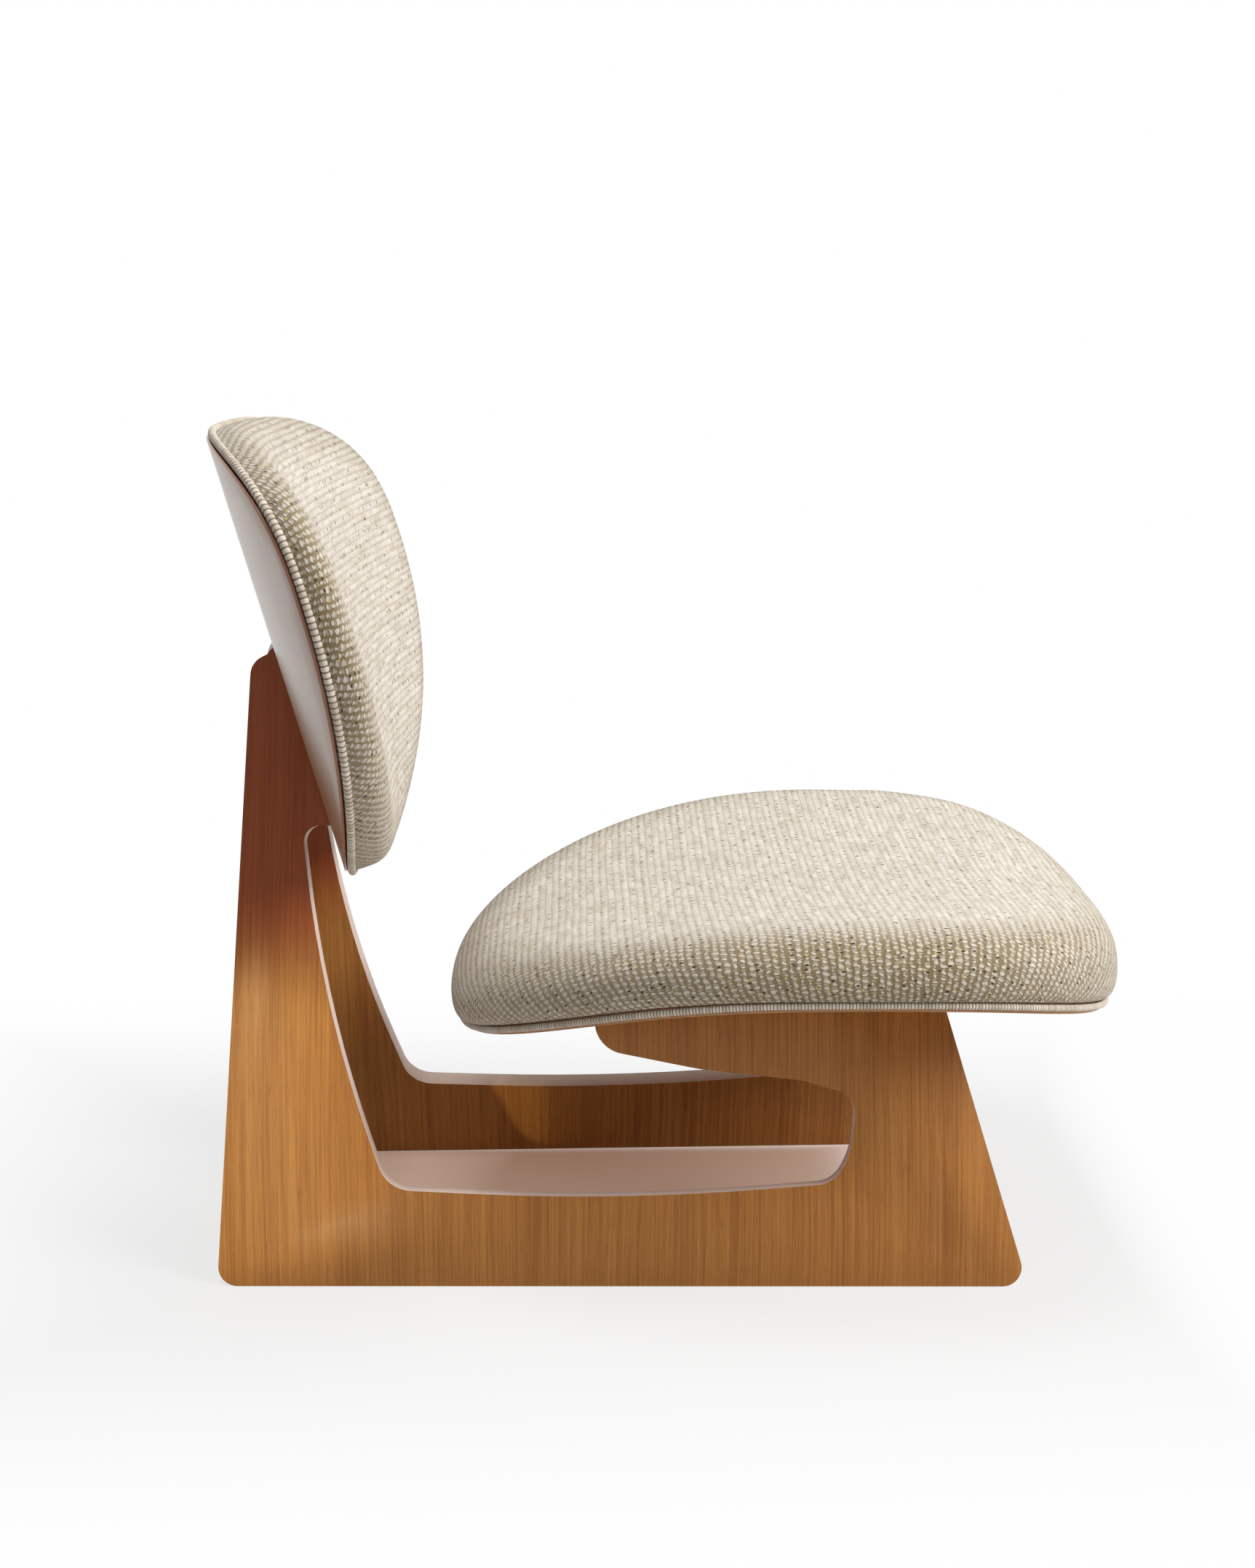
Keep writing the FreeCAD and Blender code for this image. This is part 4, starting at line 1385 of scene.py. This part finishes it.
@dataclass
class Studio:
    """White room: a plain floor, a white surround, two soft lamps and a narrow one on the heel.

    The floor is darker within the foot's half length and half width, and warm in a strip between the
    two boards: painted bounce light from their wood, in its colour and in its glow to the camera. To the camera it
    turns white outwards, and soonest in front of the chair, where the white is painted light over the chair's shadow.
    """

    floor_half: float = 9.0
    floor_rise: float = -0.0003
    foot_x: float = 0.335
    foot_y: float = 0.150
    strip_middle: float = -0.05
    strip_half: float = 0.16
    strip_slope: float = 0.35
    strip_inset: float = 0.036
    strip_blur: float = 0.035
    # Warm painted bounce light from the boards' wood on the floor between them: its floor colour and its glow to the
    # camera.
    floor_under: Colour = (0.93, 0.78, 0.66, 1.0)
    floor_open: Colour = (0.66, 0.65, 0.64, 1.0)
    glow_under: Colour = (0.84, 0.51, 0.37, 1.0)
    glow_shares: Ramp = (0.0, 1.0, 0.74, 0.22)
    glow_outwards: Ramp = (0.0, 0.42, 0.0, 0.26)
    # Painted light in front of the chair, which whitens the floor over the chair's shadow.
    glow_in_front: Ramp = (0.16, 0.42, 0.0, 0.97)
    surround_level: float = 0.25
    lamps: tuple[Lamp, ...] = (
        Lamp("key_lamp", place=(1.65, -1.0, 1.55), target=(0.0, 0.0, 0.25), size=1.2, power=41.0),
        Lamp("top_lamp", place=(-0.1, -0.25, 2.5), target=(0.0, 0.0, 0.25), size=0.9, power=20.0),
        Lamp("heel_lamp", place=(-0.7, -1.45, 0.4), target=(-0.318, -0.14, 0.116), size=0.04, power=31.5,
             cone_deg=11.0, colour=(1.0, 0.92, 0.60)),
    )

    def floor(self) -> bpy.types.Object:
        """Add the floor: it keeps the chair's shadow nearby except in front, where painted light covers it, has warm
        painted bounce light between the boards, and turns white further out.
        """
        half = self.floor_half
        mesh = bpy.data.meshes.new("floor")
        corners = [(-half, -half), (half, -half), (half, half), (-half, half)]
        mesh.from_pydata([(x, y, self.floor_rise) for x, y in corners], [], [(0, 1, 2, 3)])
        floor = new_object("floor", mesh)
        material, graph = new_material("floor_white")
        x, y, _ = graph.split(graph.place())
        past_y = graph.less(graph.unsigned(y), self.foot_y)
        past = graph.larger(graph.less(graph.unsigned(x), self.foot_x), past_y)
        from_strip = graph.less(graph.unsigned(graph.less(x, self.strip_middle)), self.strip_half)
        beyond = graph.larger(graph.times(from_strip, self.strip_slope), graph.add(past_y, self.strip_inset))
        # Painted bounce light: between the boards the floor is warm and glows warm to the camera.
        under = graph.ramp(beyond, 0.0, self.strip_blur, 1.0, 0.0)
        tint = graph.mix(under, self.floor_open, self.floor_under)
        glow = graph.mix(under, WHITE, self.glow_under)
        lifted = graph.add(graph.ramp(under, *self.glow_shares), graph.ramp(past, *self.glow_outwards))
        # Painted light: in front of the chair the floor turns white to the camera over the chair's shadow.
        lifted = graph.larger(lifted, graph.ramp(x, *self.glow_in_front))
        share = graph.times(lifted, graph.seen_directly())
        matt = graph.node("ShaderNodeBsdfDiffuse", {"Color": tint}).outputs[0]
        white = graph.node("ShaderNodeEmission", {"Color": glow, "Strength": 1.0}).outputs[0]
        graph.surface(graph.node("ShaderNodeMixShader", {0: share, 1: matt, 2: white}).outputs[0])
        dressed(floor, material)
        return floor

    def surround(self) -> None:
        """Set the world: white to the camera and in reflections, a plain level on the object."""
        world = bpy.data.worlds.new("surround")
        world.use_nodes = True
        bpy.context.scene.world = world
        graph = Graph(world.node_tree)
        level = graph.ramp(graph.seen_directly(), 0.0, 1.0, self.surround_level, 1.0)
        back = graph.node("ShaderNodeBackground", {"Color": WHITE, "Strength": level})
        graph.node("ShaderNodeOutputWorld", {"Surface": back.outputs[0]})

    def build(self) -> None:
        """Build the room and set the plain view transform."""
        self.floor()
        self.surround()
        for lamp in self.lamps:
            lamp.build()
        bpy.context.scene.view_settings.view_transform = "Standard"


@dataclass
class Upholstery:
    """A shell with its pad and its welt."""

    shell: Shell
    pad: Pad
    welt: Welt

    def build(self, weave: bpy.types.Material, yarn: bpy.types.Material) -> None:
        """Build the three pieces."""
        self.shell.build()
        self.pad.build(weave)
        self.welt.build(yarn)


def seat_sheet() -> PressedSheet:
    """Give the seat shell's place and form."""
    tilt = math.radians(0.76)
    forward = Vector((math.cos(tilt), 0.0, math.sin(tilt)))
    across = Vector((0.0, 1.0, 0.0))
    place = Placement(Vector((0.092, 0.0, 0.1982)), forward, across, forward.cross(across))
    outline = Outline(widest=61.0, ahead=170.5, behind=309.5, half=238.0, full_ahead=2.6, full_behind=2.43)
    return PressedSheet(place, outline, cross_radius=712.0, flat_from=-24.0, front_radius=3850.0, rear_radius=955.0)


def back_sheet() -> PressedSheet:
    """Give the back shell's place and form."""
    lean = math.radians(15.9)
    upward = Vector((-math.sin(lean), 0.0, math.cos(lean)))
    across = Vector((0.0, -1.0, 0.0))
    place = Placement(Vector((-0.2739, 0.0, 0.4)), upward, across, upward.cross(across))
    outline = Outline(widest=97.0, ahead=122.5, behind=215.5, half=243.0, full_ahead=2.66, full_behind=2.15)
    return PressedSheet(place, outline, cross_radius=512.0)


def seat_upholstery() -> Upholstery:
    """Give the seat's pieces."""
    sheet = seat_sheet()
    grain = Grain(
        dark=linear(150, 100, 58), middle=linear(178, 124, 74), light=linear(198, 146, 94), pore=linear(110, 68, 36))
    edge = CutEdge(pale=linear(206, 158, 116), dark=linear(168, 118, 78), ply_mm=1.2)
    shell = Shell("seat", sheet, grain, edge, roughness=0.45, coat=0.1)
    pad = Pad(
        "seat_pad", sheet, top=79.6, crown=66.0, length_radius=1040.0, cross_radius=1678.0,
        shoulder_inset=39.0, side_extra=2.0, ahead_extra=-13.0, behind_extra=4.0, bulge=11.8,
        foot_inset=-2.2, equator=0.37, cap=2.5)
    return Upholstery(shell, pad, Welt("seat_piping", sheet))


def back_upholstery() -> Upholstery:
    """Give the back's pieces."""
    sheet = back_sheet()
    # The back shell is the boards' teak, drawn darker and greyer than theirs: painted shade of its shaded rear and a
    # painted grey sheen.
    grain = Grain(
        dark=linear(128, 88, 54), middle=linear(144, 103, 66), light=linear(158, 117, 78), pore=linear(104, 68, 40),
        pore_share=0.3)
    edge = CutEdge(pale=linear(168, 104, 58), dark=linear(130, 74, 38), ply_mm=1.2)
    shell = Shell("back", sheet, grain, edge, roughness=0.42, coat=1.0)
    pad = Pad(
        "back_pad", sheet, top=48.4, crown=22.6, length_radius=2545.0, cross_radius=664.0,
        shoulder_inset=46.0, side_extra=-8.0, behind_extra=-11.0, bulge=2.8,
        foot_inset=-0.8, equator=0.26, cap=2.0)
    welt = Welt("back_piping", sheet, radius_mm=3.0, overhang_mm=4.6, rise_mm=4.4, ridge_pitch_mm=4.2)
    return Upholstery(shell, pad, welt)


def dress_hidden_parts() -> None:
    """Dress the rails, dowels and fasteners, which keep their CAD shapes."""
    rail = Grain(
        dark=linear(128, 84, 50), middle=linear(158, 110, 68), light=linear(180, 132, 86), pore=linear(96, 60, 34))
    dowel = Grain(
        dark=linear(186, 150, 106), middle=linear(204, 170, 124), light=linear(218, 188, 146),
        pore=linear(150, 112, 74))
    tone_cad(("seat_front_rail", "seat_rear_rail", "back_rail"), PlainWood("rail_wood", rail).material())
    tone_cad(("seat_front_dowels", "seat_rear_dowels", "back_dowels"),
             PlainWood("dowel_wood", dowel, roughness=0.7).material())
    steel = ZincSteel("zinc_steel").material()
    tone_cad([f"{side}_{kind}" for side in ("seat", "back") for kind in ("bolts", "washers", "tee_nuts")], steel)


def main() -> None:
    """Build the chair, dress it and set the room and the camera."""
    logging.basicConfig(level=logging.INFO, format="%(name)s %(message)s")
    Camera().build()
    Studio().build()
    for side in Side:
        SideFrame(side).build()
    weave = Weave("oatmeal_weave").material()
    yarn = WeltYarn("welt_weave").material()
    for upholstery in (seat_upholstery(), back_upholstery()):
        upholstery.build(weave, yarn)
    dress_hidden_parts()


if __name__ == "__main__":
    main()
